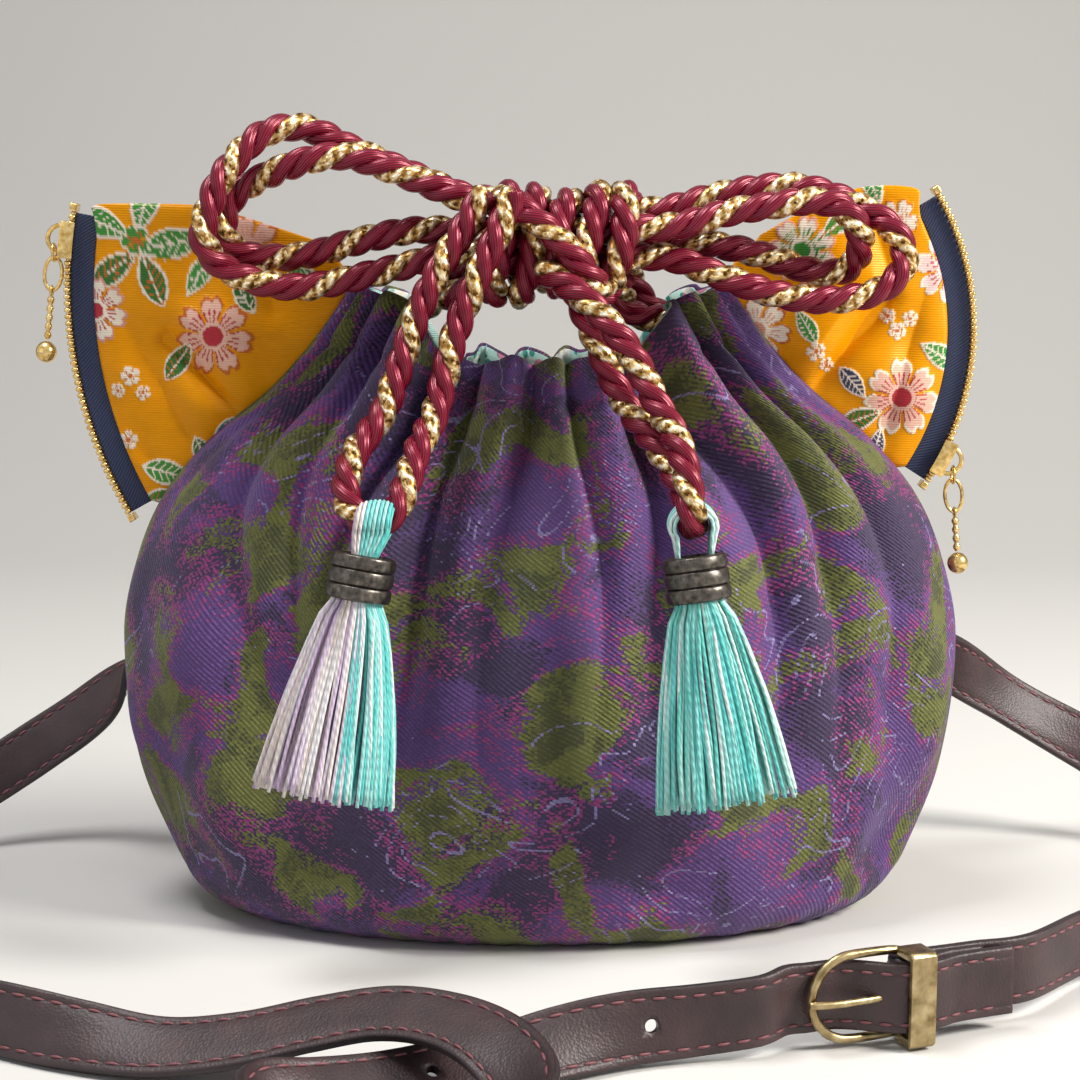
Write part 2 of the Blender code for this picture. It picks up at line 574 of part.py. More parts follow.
def make_stops(side_name, zip_set, finish, group):
    """A small metal block at each end of the teeth."""
    for end, degrees, way in (("top", zip_set["top_deg"], 1.0), ("bottom", zip_set["bottom_deg"], -1.0)):
        turn = way if zip_set["top_deg"] > zip_set["bottom_deg"] else -way
        near = degrees + turn * math.degrees(SEAM_GAP / zip_set["radius"])
        far = degrees + turn * math.degrees(STOP_LENGTH / zip_set["radius"])
        half = TEETH_WIDTH + 0.5 * SEAM_GAP
        rings = [[zip_point(zip_set, at, depth, across) for depth, across in
                  ((0.0, -half), (0.0, half), (TEETH_HEIGHT, half), (TEETH_HEIGHT, -half))]
                 for at in (near, far)]
        loft("zip_stop_%s_%s" % (end, side_name), rings, finish, group)


def slider_frame(zip_set):
    """Matrix of the slider: x out from the arc, y across the zip, z along the zip."""
    angle = math.radians(zip_set["slider_deg"])
    origin = zip_point(zip_set, zip_set["slider_deg"], 0.0, 0.0)
    return Matrix.Translation(origin) @ Matrix.Rotation(-angle, 4, "Y")


def make_slider(side_name, zip_set, finish, group, guides):
    """The slider hugs the teeth from outside, with a wire bail on its outer plate."""
    inner_half = 0.5 * SEAM_GAP + TEETH_WIDTH + SLIDER_CLEARANCE
    outer_half = inner_half + SLIDER_WALL
    degrees_half = math.degrees(0.5 * SLIDER_LENGTH / zip_set["radius"])
    inside = TEETH_HEIGHT + SLIDER_CLEARANCE
    rings = []
    for k in range(5):
        degrees = zip_set["slider_deg"] + degrees_half * (k - 2) / 2.0
        plate = -SLIDER_CLEARANCE
        section = [(inside, -outer_half), (plate - SLIDER_WALL, -outer_half),
                   (plate - SLIDER_WALL, outer_half), (inside, outer_half),
                   (inside, inner_half), (plate, inner_half), (plate, -inner_half), (inside, -inner_half)]
        rings.append([zip_point(zip_set, degrees, depth, across) for depth, across in section])
    body = loft("zip_slider_" + side_name, rings, finish, group)
    frame = slider_frame(zip_set)
    plate_top = SLIDER_CLEARANCE + SLIDER_WALL
    root = SLIDER_CLEARANCE + 0.5 * SLIDER_WALL
    arch = [Vector((root, 0.0, -BAIL_RADIUS))]
    arch += [Vector((plate_top + BAIL_RADIUS * math.cos(a), 0.0, BAIL_RADIUS * math.sin(a)))
             for a in [math.radians(-90.0 + 22.5 * k) for k in range(9)]]
    arch.append(Vector((root, 0.0, BAIL_RADIUS)))
    bail = as_mesh(tube("bail_" + side_name, [frame @ point for point in arch], BAIL_WIRE, finish, guides),
                   guides)
    boolean(body, bail, "UNION", guides)


def hang_point(zip_set):
    """Point of the bail's wire from which the pull hangs."""
    centre = slider_frame(zip_set) @ Vector((SLIDER_CLEARANCE + SLIDER_WALL, 0.0, 0.0))
    angle = math.radians(zip_set["hang_deg"])
    return centre + Vector((BAIL_RADIUS * math.cos(angle), 0.0, BAIL_RADIUS * math.sin(angle)))


def ring_points(centre, across, up, half_width, half_height, count=20):
    centre, across, up = Vector(centre), Vector(across), Vector(up)
    return [centre + across * (half_width * math.cos(2 * math.pi * k / count))
            + up * (half_height * math.sin(2 * math.pi * k / count)) for k in range(count)]


def pull_frame(zip_set):
    """Frame at the foot of the jump link, turned so that the pull hangs clear of the bag."""
    link = hang_point(zip_set) + Vector((0.0, 0.0, LINK_RISE - LINK_RADIUS))
    foot = link - Vector((0.0, 0.0, LINK_RADIUS))
    return link, Matrix.Translation(foot) @ Matrix.Rotation(math.radians(zip_set["lean_deg"]), 4, "Y")


def make_pull(side_name, zip_set, finish, group, guides):
    """Jump link, oval ring, bead chain and ball, hanging from the bail."""
    x_axis, y_axis, z_axis = Vector((1, 0, 0)), Vector((0, 1, 0)), Vector((0, 0, 1))
    link, frame = pull_frame(zip_set)
    tube("zip_link_" + side_name, ring_points(link, y_axis, z_axis, LINK_RADIUS, LINK_RADIUS, 14),
         LINK_WIRE, finish, group, closed=True, resolution=1)
    ring_top = LINK_WIRE + PULL_WIRE + 0.0002
    oval = ring_points((0.0, 0.0, ring_top - PULL_RING_HALF_HEIGHT), x_axis, z_axis,
                       PULL_RING_HALF_WIDTH, PULL_RING_HALF_HEIGHT, 16)
    tube("zip_ring_" + side_name, [frame @ point for point in oval], PULL_WIRE, finish, group,
         closed=True, resolution=1)
    hook_top = ring_top - 2.0 * PULL_RING_HALF_HEIGHT + PULL_WIRE + HOOK_WIRE + 0.0002
    hook_centre = Vector((0.0, 0.0, hook_top - HOOK_RADIUS))
    stem_top = hook_centre.z - HOOK_RADIUS
    profile = [(0.0, stem_top)]
    for k in range(zip_set["beads"]):
        middle = stem_top - BEAD_RADIUS - BEAD_PITCH * k
        profile += [(0.4 * BEAD_RADIUS, middle + 0.45 * BEAD_PITCH),
                    (BEAD_RADIUS, middle + 0.4 * BEAD_RADIUS), (BEAD_RADIUS, middle - 0.4 * BEAD_RADIUS)]
    bottom = middle - 0.5 * BEAD_PITCH
    profile += [(0.4 * BEAD_RADIUS, bottom), (0.0, bottom)]
    chain = turned("zip_chain_" + side_name, profile, (0.0, 0.0, 0.0), 8, finish, group)
    chain.matrix_world = frame
    hook_points = ring_points(hook_centre, y_axis, z_axis, HOOK_RADIUS, HOOK_RADIUS, 10)
    hook = as_mesh(tube("hook_" + side_name, [frame @ point for point in hook_points], HOOK_WIRE, finish,
                        guides, closed=True, resolution=1), guides)
    boolean(chain, hook, "UNION", guides)
    ball_centre = frame @ Vector((0.0, 0.0, bottom - SEAM_GAP - BALL_RADIUS))
    ellipsoid("zip_ball_" + side_name, ball_centre, (BALL_RADIUS,) * 3, finish, group, 12, 8)


def turned(name, profile, centre, steps, finish, group):
    """A solid of revolution about a vertical axis: profile points run from top to bottom."""
    mesh = bpy.data.meshes.new(name)
    mesh.from_pydata([(r, 0.0, z) for r, z in profile], [(i, i + 1) for i in range(len(profile) - 1)], [])
    item = place(bpy.data.objects.new(name, mesh), finish, group)
    item.location = centre
    screw = item.modifiers.new("turn", "SCREW")
    screw.steps = steps
    screw.render_steps = steps
    screw.use_merge_vertices = True
    screw.merge_threshold = 0.00001
    screw.use_normal_calculate = True
    return item


# Bow

def make_knot(finish, group):
    """The wrapped knot: turns of cord side by side round the bow, drawn in at the ends."""
    rings = []
    per_turn = 4
    sides = 16
    total = KNOT_TURNS * per_turn
    for k in range(total + 1):
        share = k / total
        phase = (k % per_turn) / per_turn
        bulge = math.sin(math.pi * phase) if k < total else 0.0
        waist = 1.0 - 0.06 * (2.0 * share - 1.0) ** 4
        scale = waist - 0.07 * (1.0 - bulge)
        x = KNOT_CENTRE[0] - KNOT_HALF_LENGTH + 2.0 * KNOT_HALF_LENGTH * share
        ring = []
        for s in range(sides):
            a = 2.0 * math.pi * s / sides
            ring.append(Vector((x, KNOT_CENTRE[1] + KNOT_HALF_DEPTH * scale * math.cos(a),
                                KNOT_CENTRE[2] + KNOT_HALF_HEIGHT * scale * math.sin(a))))
        rings.append(ring)
    return loft("bow_knot", rings, finish, group)


def make_cords(finish, group):
    for name, route in CORD_ROUTES.items():
        tube(name, smooth_route(route, CORD_POINT_SPACING), 0.5 * CORD_DIAMETER, finish, group)


# Tassels

def make_tassel(side_name, tassel, thread, metal, group, guides):
    """Head loop over the cord, neck inside the collar, and a flared skirt of threads."""
    eye, collar, hem = Vector(tassel["eye"]), Vector(tassel["collar"]), Vector(tassel["hem"])
    down = (hem - collar).normalized()
    across = Vector((1.0, 0.0, 0.0)) - down * down.x
    across.normalize()
    front = across.cross(down)
    neck_top = collar - down * (0.5 * COLLAR_LENGTH + 0.0015)
    skirt_top = collar + down * (0.5 * COLLAR_LENGTH)
    length = (hem - skirt_top).length
    stations = [(neck_top, NECK_RADIUS * 0.8, NECK_RADIUS * 0.8), (neck_top + down * 0.0012, NECK_RADIUS,
                                                                  NECK_RADIUS),
                (skirt_top + down * 0.0006, NECK_RADIUS, NECK_RADIUS)]
    for share, spread in ((0.06, 0.46), (0.25, 0.62), (0.5, 0.78), (0.75, 0.9), (1.0, 1.0)):
        half = SKIRT_HALF_WIDTH * spread
        depth = max(NECK_RADIUS, half * SKIRT_DEPTH_SHARE)
        stations.append((skirt_top + down * (length * share), half, depth))
    rings = []
    for middle, half, depth in stations:
        rings.append([middle + across * (half * math.cos(a)) + front * (depth * math.sin(a))
                      for a in [2.0 * math.pi * s / 16 for s in range(16)]])
    skirt = loft("tassel_" + side_name, rings, thread, group)
    turn = Matrix.Rotation(math.pi / 2, 4, "Y" if tassel["cord_along"] == "X" else "X")
    outer = cylinder("eye_" + side_name, eye, EYE_RADIUS, EYE_WIDTH, turn, thread, guides)
    path = smooth_route(CORD_ROUTES["tail_" + side_name], CORD_POINT_SPACING)
    room = tube("eye_hole_" + side_name, path, 0.5 * CORD_DIAMETER + EYE_CLEARANCE, thread, guides)
    boolean(skirt, outer, "UNION", guides)
    boolean(skirt, as_mesh(room, guides), "DIFFERENCE", guides)
    rings = []
    for share, radius in ((0.0, 0.93), (0.06, 1.0), (0.28, 1.0), (0.33, 0.9), (0.38, 1.0), (0.62, 1.0),
                          (0.67, 0.9), (0.72, 1.0), (0.94, 1.0), (1.0, 0.93)):
        middle = collar + down * (COLLAR_LENGTH * (share - 0.5))
        rings.append([middle + across * (COLLAR_RADIUS * radius * math.cos(a))
                      + front * (COLLAR_RADIUS * radius * math.sin(a))
                      for a in [2.0 * math.pi * s / 14 for s in range(14)]])
    bore = []
    for share in (1.0, 0.0):
        middle = collar + down * (COLLAR_LENGTH * (share - 0.5))
        bore.append([middle + across * ((NECK_RADIUS + SEAM_GAP) * math.cos(a))
                     + front * ((NECK_RADIUS + SEAM_GAP) * math.sin(a))
                     for a in [2.0 * math.pi * s / 14 for s in range(14)]])
    ring_solid("tassel_collar_" + side_name, rings + bore, metal, group)


def ring_solid(name, rings, finish, group):
    """A closed band: rings down the outside and back up the bore, joined end to end."""
    builder = bmesh.new()
    rows = [[builder.verts.new(point) for point in ring] for ring in rings]
    count = len(rows[0])
    for row, following in zip(rows, rows[1:] + rows[:1]):
        for i in range(count):
            j = (i + 1) % count
            builder.faces.new((row[i], row[j], following[j], following[i]))
    return mesh_object(name, builder, finish, group)


# Strap

def buckle_frame():
    return Matrix.Translation(BUCKLE_CENTRE) @ Matrix.Rotation(math.radians(BUCKLE_TURN_DEG), 4, "Z") \
        @ Matrix(((1, 0, 0, 0), (0, -1, 0, 0), (0, 0, 1, 0), (0, 0, 0, 1)))


def buckle_point(x, y, z=0.0):
    """A point in millimetres of the buckle's own frame, as a place in the model."""
    return buckle_frame() @ Vector((x * MM, y * MM, z * MM))


def pouch_back(x, z):
    """Depth of the pouch's back wall at a place across and up."""
    share = z / MOUTH_HEIGHT
    for _ in range(8):
        half_width = curve_value(POUCH_SECTIONS, 1, share)
        turn = math.acos(max(-1.0, min(1.0, x / half_width)))
        share = z / mouth_height(turn)
    return curve_value(POUCH_SECTIONS, 2, share) * math.sin(turn)


def tab_frame(tab):
    """Ring's frame: x along its bars, y out from the bag, z up toward the tab."""
    x, z = tab["at"]
    step = 0.002
    place_on = Vector((x, pouch_back(x, z), z))
    along_x = Vector((x + step, pouch_back(x + step, z), z)) - place_on
    along_z = Vector((x, pouch_back(x, z + step), z + step)) - place_on
    normal = along_z.cross(along_x).normalized()
    up = -Vector(tab["pull"])
    up = (up - normal * up.dot(normal)).normalized()
    along = normal.cross(up).normalized()
    turn_matrix = Matrix((along, normal, up)).transposed().to_4x4()
    return Matrix.Translation(place_on + normal * TAB_STANDOFF) @ turn_matrix


def ribbon_rings(points, lean, width, thickness):
    """Oblong sections along a route; lean gives the width's direction at each point."""
    rings = []
    last = len(points) - 1
    for i, point in enumerate(points):
        tangent = (points[min(last, i + 1)] - points[max(0, i - 1)]).normalized()
        wide = lean[i] - tangent * lean[i].dot(tangent)
        wide.normalize()
        thick = tangent.cross(wide)
        rings.append([point + wide * (0.5 * width * a) + thick * (0.5 * thickness * b)
                      for a, b in ((1, 1), (-1, 1), (-1, -1), (1, -1))])
    return rings


def ribbon_samples(route, spacing):
    """Points and width directions about one spacing apart along a strap's smooth route."""
    both = [(*Vector(point), *Vector(wide).normalized()) for point, wide in route]
    samples = []
    for i in range(len(both) - 1):
        p = [both[max(0, i - 1)], both[i], both[i + 1], both[min(len(both) - 1, i + 2)]]
        steps = max(1, round((Vector(p[2][:3]) - Vector(p[1][:3])).length / spacing))
        for k in range(steps):
            t = k / steps
            samples.append([0.5 * (2 * b + (c - a) * t + (2 * a - 5 * b + 4 * c - d) * t * t
                                   + (3 * b - 3 * c + d - a) * t**3) for a, b, c, d in zip(*p)])
    samples.append(list(both[-1]))
    return [Vector(s[:3]) for s in samples], [Vector(s[3:]) for s in samples]


def ribbon(name, route, width, thickness, finish, group):
    """A flat strap: each route entry is a point and the direction of the strap's width."""
    points, lean = ribbon_samples(route, STRAP_POINT_SPACING)
    return loft(name, ribbon_rings(points, lean, width, thickness), finish, group)


def leaning(x, y, z, degrees, toward):
    """A route entry whose width leans from upright toward a compass direction."""
    a, b = math.radians(degrees), math.radians(toward)
    return ((x, y, z), (math.sin(a) * math.cos(b), math.sin(a) * math.sin(b), math.cos(a)))


def fold_route(frame):
    """The strap's end round the ring's lower bar, in the ring's frame."""
    wide = frame.to_3x3() @ Vector((1.0, 0.0, 0.0))
    bar = -RING_HALF_HEIGHT
    pair = 0.5 * STRAP_THICKNESS + 0.5 * SEAM_GAP
    steps = [(-pair, bar - STRAP_FOLD_LENGTH), (-pair, bar - 0.0100), (-FOLD_RADIUS, bar - 0.0012)]
    for k in range(1, 8):
        a = math.pi - math.pi * k / 8.0
        steps.append((FOLD_RADIUS * math.cos(a), bar + FOLD_RADIUS * math.sin(a)))
    steps += [(FOLD_RADIUS, bar - 0.0012), (pair, bar - 0.0100), (pair, bar - STRAP_FOLD_LENGTH)]
    return [(frame @ Vector((0.0, y, z)), wide) for y, z in steps]


def strap_routes():
    """Both straps, from the ring behind the bag to the buckle in front."""
    left, right = tab_frame(TABS["left"]), tab_frame(TABS["right"])
    hold = 0.5 * STRAP_WIDTH + 0.0001
    left_out = fold_route(left)
    right_out = fold_route(right)
    long_run = [
        leaning(-0.1220, 0.0480, 0.0400, 30, 110), leaning(-0.1400, 0.0480, 0.0270, 18, 115),
        leaning(-0.1600, 0.0380, 0.0150, 8, 150), leaning(-0.1740, 0.0160, 0.0090, 4, 170),
        leaning(-0.1760, -0.0150, hold + 0.0005, 3, 180), leaning(-0.1680, -0.0500, hold, 2, 200),
        leaning(-0.1500, -0.0800, hold, 2, 220), leaning(-0.1300, -0.0990, hold, 2, 240),
        leaning(-0.1130, -0.1085, 0.0076, 20, 100),
        leaning(-0.0950, -0.1150, 0.0062, 45, 95), leaning(-0.0780, -0.1195, 0.0054, 62, 92),
        leaning(-0.0610, -0.1220, 0.0078, 66, 90), leaning(-0.0455, -0.1230, 0.0116, 68, 90),
        leaning(-0.0315, -0.1255, 0.0148, 70, 85), leaning(-0.0195, -0.1320, 0.0160, 70, 65),
        leaning(-0.0100, -0.1415, 0.0156, 66, 45), leaning(-0.0035, -0.1525, 0.0130, 52, 28),
        leaning(-0.0020, -0.1640, 0.0098, 30, 5), leaning(-0.0080, -0.1745, 0.0080, 8, -40),
        leaning(-0.0200, -0.1800, hold, 2, -75), leaning(-0.0345, -0.1800, hold, 2, -105),
        leaning(-0.0475, -0.1740, hold, 2, -135), leaning(-0.0540, -0.1620, 0.0079, 6, 180),
        leaning(-0.0515, -0.1510, 0.0075, 30, 140), leaning(-0.0425, -0.1440, 0.0061, 54, 122),
        leaning(-0.0310, -0.1385, 0.0053, 60, 116), leaning(-0.0190, -0.1325, 0.0053, 60, 116),
        leaning(-0.0070, -0.1265, 0.0058, 54, 115), leaning(0.0050, -0.1210, 0.0071, 38, 112),
        leaning(0.0180, -0.1165, 0.0082, 18, 105), leaning(0.0320, -0.1140, 0.0090, 4, 100),
        leaning(0.0450, -0.1120, 0.0102, 0, 0),
    ]
    upright = (0.0, 0.0, 1.0)
    through = [(buckle_point(x, y), upright) for x, y in (
        (-17.0, -3.0), (-12.5, -2.8), (-8.5, -2.8), (-5.5, -2.5), (-2.0, -0.8), (1.5, 1.8), (5.0, 4.3),
        (8.0, 5.3), (11.0, 5.3), (15.0, 4.6), (20.0, 3.1), (26.0, 2.7), (34.0, 2.7))]
    short_run = [
        leaning(0.1580, 0.0500, 0.0240, 20, 60), leaning(0.1740, 0.0380, 0.0130, 8, 40),
        leaning(0.1830, 0.0140, 0.0085, 3, 10), leaning(0.1800, -0.0150, hold, 1, 0),
        leaning(0.1640, -0.0400, hold, 0, 0), leaning(0.1420, -0.0560, 0.0085, 0, 0),
        leaning(0.1250, -0.0660, 0.0100, 0, 0),
    ]
    fold = [(buckle_point(x, y), upright) for x, y in (
        (42.0, -2.5), (28.0, -2.5), (19.0, -2.5), (12.0, -2.7), (9.5, -2.6), (7.66, -1.84), (6.9, 0.0),
        (7.66, 1.84), (9.5, 2.6), (12.0, 2.4), (19.0, 0.1), (24.0, 0.0), (28.0, 0.0))]
    bridge_right = [leaning(0.1300, 0.0520, 0.0400, 34, 70)]
    return left_out + long_run + through, right_out + bridge_right + short_run + fold


def across_strap(route, back_from_end):
    """Place and turn of a bar through the strap, a distance back from the route's end."""
    points, lean = ribbon_samples(route, 0.002)
    run = 0.0
    for i in range(len(points) - 1, 1, -1):
        run += (points[i] - points[i - 1]).length
        if run >= back_from_end:
            break
    tangent = (points[i] - points[i - 2]).normalized()
    wide = (lean[i - 1] - tangent * lean[i - 1].dot(tangent)).normalized()
    through = tangent.cross(wide)
    return points[i - 1], Matrix((tangent, wide, through)).transposed().to_4x4()


def framed_box(name, low, high, frame, finish, group):
    cutter = box(name, low, high, finish, group)
    cutter.matrix_world = frame
    return cutter


def make_straps(finish, group, guides):
    long_route, short_route = strap_routes()
    long_strap = ribbon("strap_long", long_route, STRAP_WIDTH, STRAP_THICKNESS, finish, group)
    short_strap = ribbon("strap_short", short_route, STRAP_WIDTH, STRAP_THICKNESS, finish, group)
    boolean(long_strap, framed_box("prong_slot", *PRONG_SLOT, buckle_frame(), finish, guides),
            "DIFFERENCE", guides)
    boolean(short_strap, framed_box("eye_slot", *EYE_SLOT, buckle_frame(), finish, guides),
            "DIFFERENCE", guides)
    for k in range(PUNCHED_HOLES):
        place_on, turn = across_strap(long_route, FIRST_HOLE_FROM_TIP + PUNCHED_HOLE_PITCH * k)
        hole = cylinder("punched_hole_%d" % (k + 1), place_on, PUNCHED_HOLE_RADIUS,
                        4.0 * STRAP_THICKNESS, turn, finish, guides, 12)
        boolean(long_strap, hole, "DIFFERENCE", guides)
    for side_name, strap in (("left", long_strap), ("right", short_strap)):
        bore = cylinder("rivet_hole_" + side_name, (0.0, 0.0, 0.0), RIVET_SHANK + SEAM_GAP,
                        0.020, Matrix.Rotation(math.pi / 2, 4, "X"), finish, guides, 12)
        bore.matrix_world = rivet_frame(side_name)
        boolean(strap, bore, "DIFFERENCE", guides)


def rivet_frame(side_name):
    return tab_frame(TABS[side_name]) @ Matrix.Translation((0.0, 0.0, -RING_HALF_HEIGHT - RIVET_BACK))


def make_rivet(side_name, finish, group):
    """A double-capped rivet through both layers of the strap's folded end."""
    layers = STRAP_THICKNESS + 0.5 * SEAM_GAP
    cap = layers + SEAM_GAP
    profile = [(0.0, cap + RIVET_CAP_HEIGHT), (0.6 * RIVET_CAP, cap + 0.85 * RIVET_CAP_HEIGHT),
               (RIVET_CAP, cap + 0.3 * RIVET_CAP_HEIGHT), (RIVET_CAP, cap), (RIVET_SHANK, cap),
               (RIVET_SHANK, -cap), (RIVET_CAP, -cap), (RIVET_CAP, -cap - 0.3 * RIVET_CAP_HEIGHT),
               (0.6 * RIVET_CAP, -cap - 0.85 * RIVET_CAP_HEIGHT), (0.0, -cap - RIVET_CAP_HEIGHT)]
    rivet = turned("strap_rivet_" + side_name, profile, (0.0, 0.0, 0.0), 16, finish, group)
    rivet.matrix_world = rivet_frame(side_name) @ Matrix.Rotation(-math.pi / 2, 4, "X")


def rounded_loop(half_width, half_height, corner, count=4):
    """Corner-rounded oblong as points across and up."""
    out = []
    for quarter, (sx, sz) in enumerate(((1, 1), (-1, 1), (-1, -1), (1, -1))):
        for k in range(count + 1):
            a = math.pi / 2 * (quarter + k / count)
            out.append((sx * (half_width - corner) + corner * math.cos(a),
                        sz * (half_height - corner) + corner * math.sin(a)))
    return out


def make_strap_ring(side_name, brass, cloth, group):
    """Oblong wire ring, and the cloth tab that is folded over its upper bar."""
    frame = tab_frame(TABS[side_name])
    loop = [frame @ Vector((x, 0.0, z)) for x, z in rounded_loop(RING_HALF_WIDTH, RING_HALF_HEIGHT, 0.0022)]
    tube("strap_ring_" + side_name, loop, RING_WIRE, brass, group, closed=True)
    wide = frame.to_3x3() @ Vector((1.0, 0.0, 0.0))
    bar = RING_HALF_HEIGHT

    def on_wall(height, layer):
        """Depth in the ring's frame of a layer of the tab that is sewn to the wall."""
        y = 0.0
        for _ in range(4):
            place_on = frame @ Vector((0.0, y, height))
            y += pouch_back(place_on.x, place_on.z) - place_on.y
        return y + TAB_SEAT + (layer + 0.5) * TAB_THICKNESS + layer * SEAM_GAP

    steps = [(on_wall(bar + h, 1), bar + h) for h in (TAB_LENGTH, 0.75 * TAB_LENGTH, 0.5 * TAB_LENGTH)]
    steps.append((TAB_FOLD_RADIUS, bar + 0.0010))
    for k in range(1, 8):
        a = math.pi * k / 8.0
        steps.append((TAB_FOLD_RADIUS * math.cos(a), bar - TAB_FOLD_RADIUS * math.sin(a)))
    steps.append((-TAB_FOLD_RADIUS, bar + 0.0010))
    steps += [(on_wall(bar + h, 0), bar + h) for h in (0.5 * TAB_LENGTH, 0.75 * TAB_LENGTH, TAB_LENGTH)]
    route = [(frame @ Vector((0.0, y, z)), wide) for y, z in steps]
    ribbon("strap_tab_" + side_name, route, STRAP_WIDTH, TAB_THICKNESS, cloth, group)


# Buckle

def make_buckle(brass, group, guides):
    """Round-ended wire frame, front keeper plate on its arms, and a prong that turns on its bar."""
    frame = buckle_frame()
    height = BUCKLE_HALF_HEIGHT
    loop = [(BUCKLE_BAR, -height + 0.0015), (BUCKLE_BAR, 0.0), (BUCKLE_BAR, height - 0.0015),
            (BUCKLE_BAR - 0.0015, height)]
    arc = height
    for k in range(13):
        a = math.pi / 2 + math.pi * k / 12
        loop.append((BUCKLE_LEFT + arc + arc * math.cos(a), arc * math.sin(a)))
    loop.append((BUCKLE_BAR - 0.0015, -height))
    tube("buckle_frame", [frame @ Vector((x, 0.0, z)) for x, z in loop], BUCKLE_WIRE, brass, group, closed=True)

    arm_top = BUCKLE_WIRE + SEAM_GAP
    back, front = KEEPER_FRONT, KEEPER_FRONT + KEEPER_THICKNESS
    outer, inner = height + BUCKLE_WIRE, height - BUCKLE_WIRE + 0.0002
    section = [(arm_top, -outer), (front - 0.0008, -outer), (front, -outer + 0.0008), (front, outer - 0.0008),
               (front - 0.0008, outer), (arm_top, outer), (arm_top, inner), (back, inner), (back, -inner),
               (arm_top, -inner)]
    rings = [[frame @ Vector((BUCKLE_BAR + x, y, z)) for y, z in section]
             for x in (-KEEPER_HALF_WIDTH, KEEPER_HALF_WIDTH)]
    loft("buckle_keeper", rings, brass, group)

    eye = ring_points(Vector((BUCKLE_BAR, 0.0, 0.0)), Vector((1, 0, 0)), Vector((0, 1, 0)),
                      BUCKLE_WIRE + SEAM_GAP + PRONG_WIRE, BUCKLE_WIRE + SEAM_GAP + PRONG_WIRE, 16)
    arm = smooth_route([(BUCKLE_BAR - 0.0016, 0.0017, 0.0), (0.0060, 0.0023, 0.0), (0.0030, 0.0027, 0.0),
                        (-0.0020, 0.0031, 0.0), (-0.0080, 0.0031, 0.0), (BUCKLE_LEFT, 0.0024, 0.0),
                        (BUCKLE_LEFT - 0.0016, 0.0019, 0.0)], 0.002)
    prong = as_mesh(tube("buckle_prong", [frame @ p for p in arm], PRONG_WIRE, brass, group), group)
    wire_eye = as_mesh(tube("prong_eye", [frame @ p for p in eye], PRONG_WIRE, brass, guides, closed=True),
                       guides)
    boolean(prong, wire_eye, "UNION", guides)


def build():
    clear_scene()
    bag = new_collection("drawstring_shoulder_bag")
    guides = new_collection("cutters_and_guides")
    jacquard = material("purple jacquard", (0.110, 0.055, 0.150), 0.75)
    floral = material("mint floral cotton", (0.430, 0.640, 0.560), 0.80)
    brocade = material("golden brocade", (0.760, 0.360, 0.010), 0.40)
    tape = material("navy zip tape", (0.012, 0.022, 0.060), 0.80)
    gold = material("gold plated metal", (0.780, 0.560, 0.250), 0.30, 1.0)
    cord = material("twisted satin cord", (0.250, 0.012, 0.035), 0.45)
    aqua = material("tassel thread", (0.200, 0.700, 0.650), 0.60)
    pewter = material("dark pewter", (0.120, 0.110, 0.100), 0.40, 1.0)
    leather = material("brown leather", (0.052, 0.030, 0.026), 0.50)
    brass = material("antique brass", (0.420, 0.330, 0.200), 0.35, 1.0)

    make_panel("back_panel", 0.0, jacquard, bag)
    make_panel("front_panel", math.pi, jacquard, bag)
    make_lining(floral, bag)
    make_base(jacquard, bag)
    for side_name, zip_set, pocket in (("left", ZIP_LEFT, POCKET_LEFT), ("right", ZIP_RIGHT, POCKET_RIGHT)):
        make_pocket("ear_pocket_" + side_name, pocket, zip_set, brocade, bag)
        for row, side in (("front", -1.0), ("back", 1.0)):
            make_tape("zip_tape_%s_%s" % (row, side_name), side, zip_set, tape, bag)
            make_teeth("zip_teeth_%s_%s" % (row, side_name), side, zip_set, gold, bag)
        make_stops(side_name, zip_set, gold, bag)
        make_slider(side_name, zip_set, gold, bag, guides)
        make_pull(side_name, zip_set, gold, bag, guides)
    make_knot(cord, bag)
    make_cords(cord, bag)
    for side_name, tassel in TASSELS.items():
        make_tassel(side_name, tassel, aqua, pewter, bag, guides)
    make_straps(leather, bag, guides)
    for side_name in TABS:
        make_strap_ring(side_name, brass, jacquard, bag)
        make_rivet(side_name, brass, bag)
    make_buckle(brass, bag, guides)
    for item in bag.objects:
        if item.type == "MESH":
            item.data.set_sharp_from_angle(angle=math.radians(40.0))


build()
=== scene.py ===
# %% [markdown]
# # A drawstring shoulder bag
#
# The bag is a gathered pouch of purple and olive jacquard with a mint floral lining, two
# zipped side pockets of golden brocade, a bow of twisted cord with two tassels, and a narrow
# leather strap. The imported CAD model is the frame: it fixes where each piece sits and how big it is.

# %% Load the frame
import json
import math

import bmesh
import bpy
import numpy as np
from mathutils import Matrix, Vector

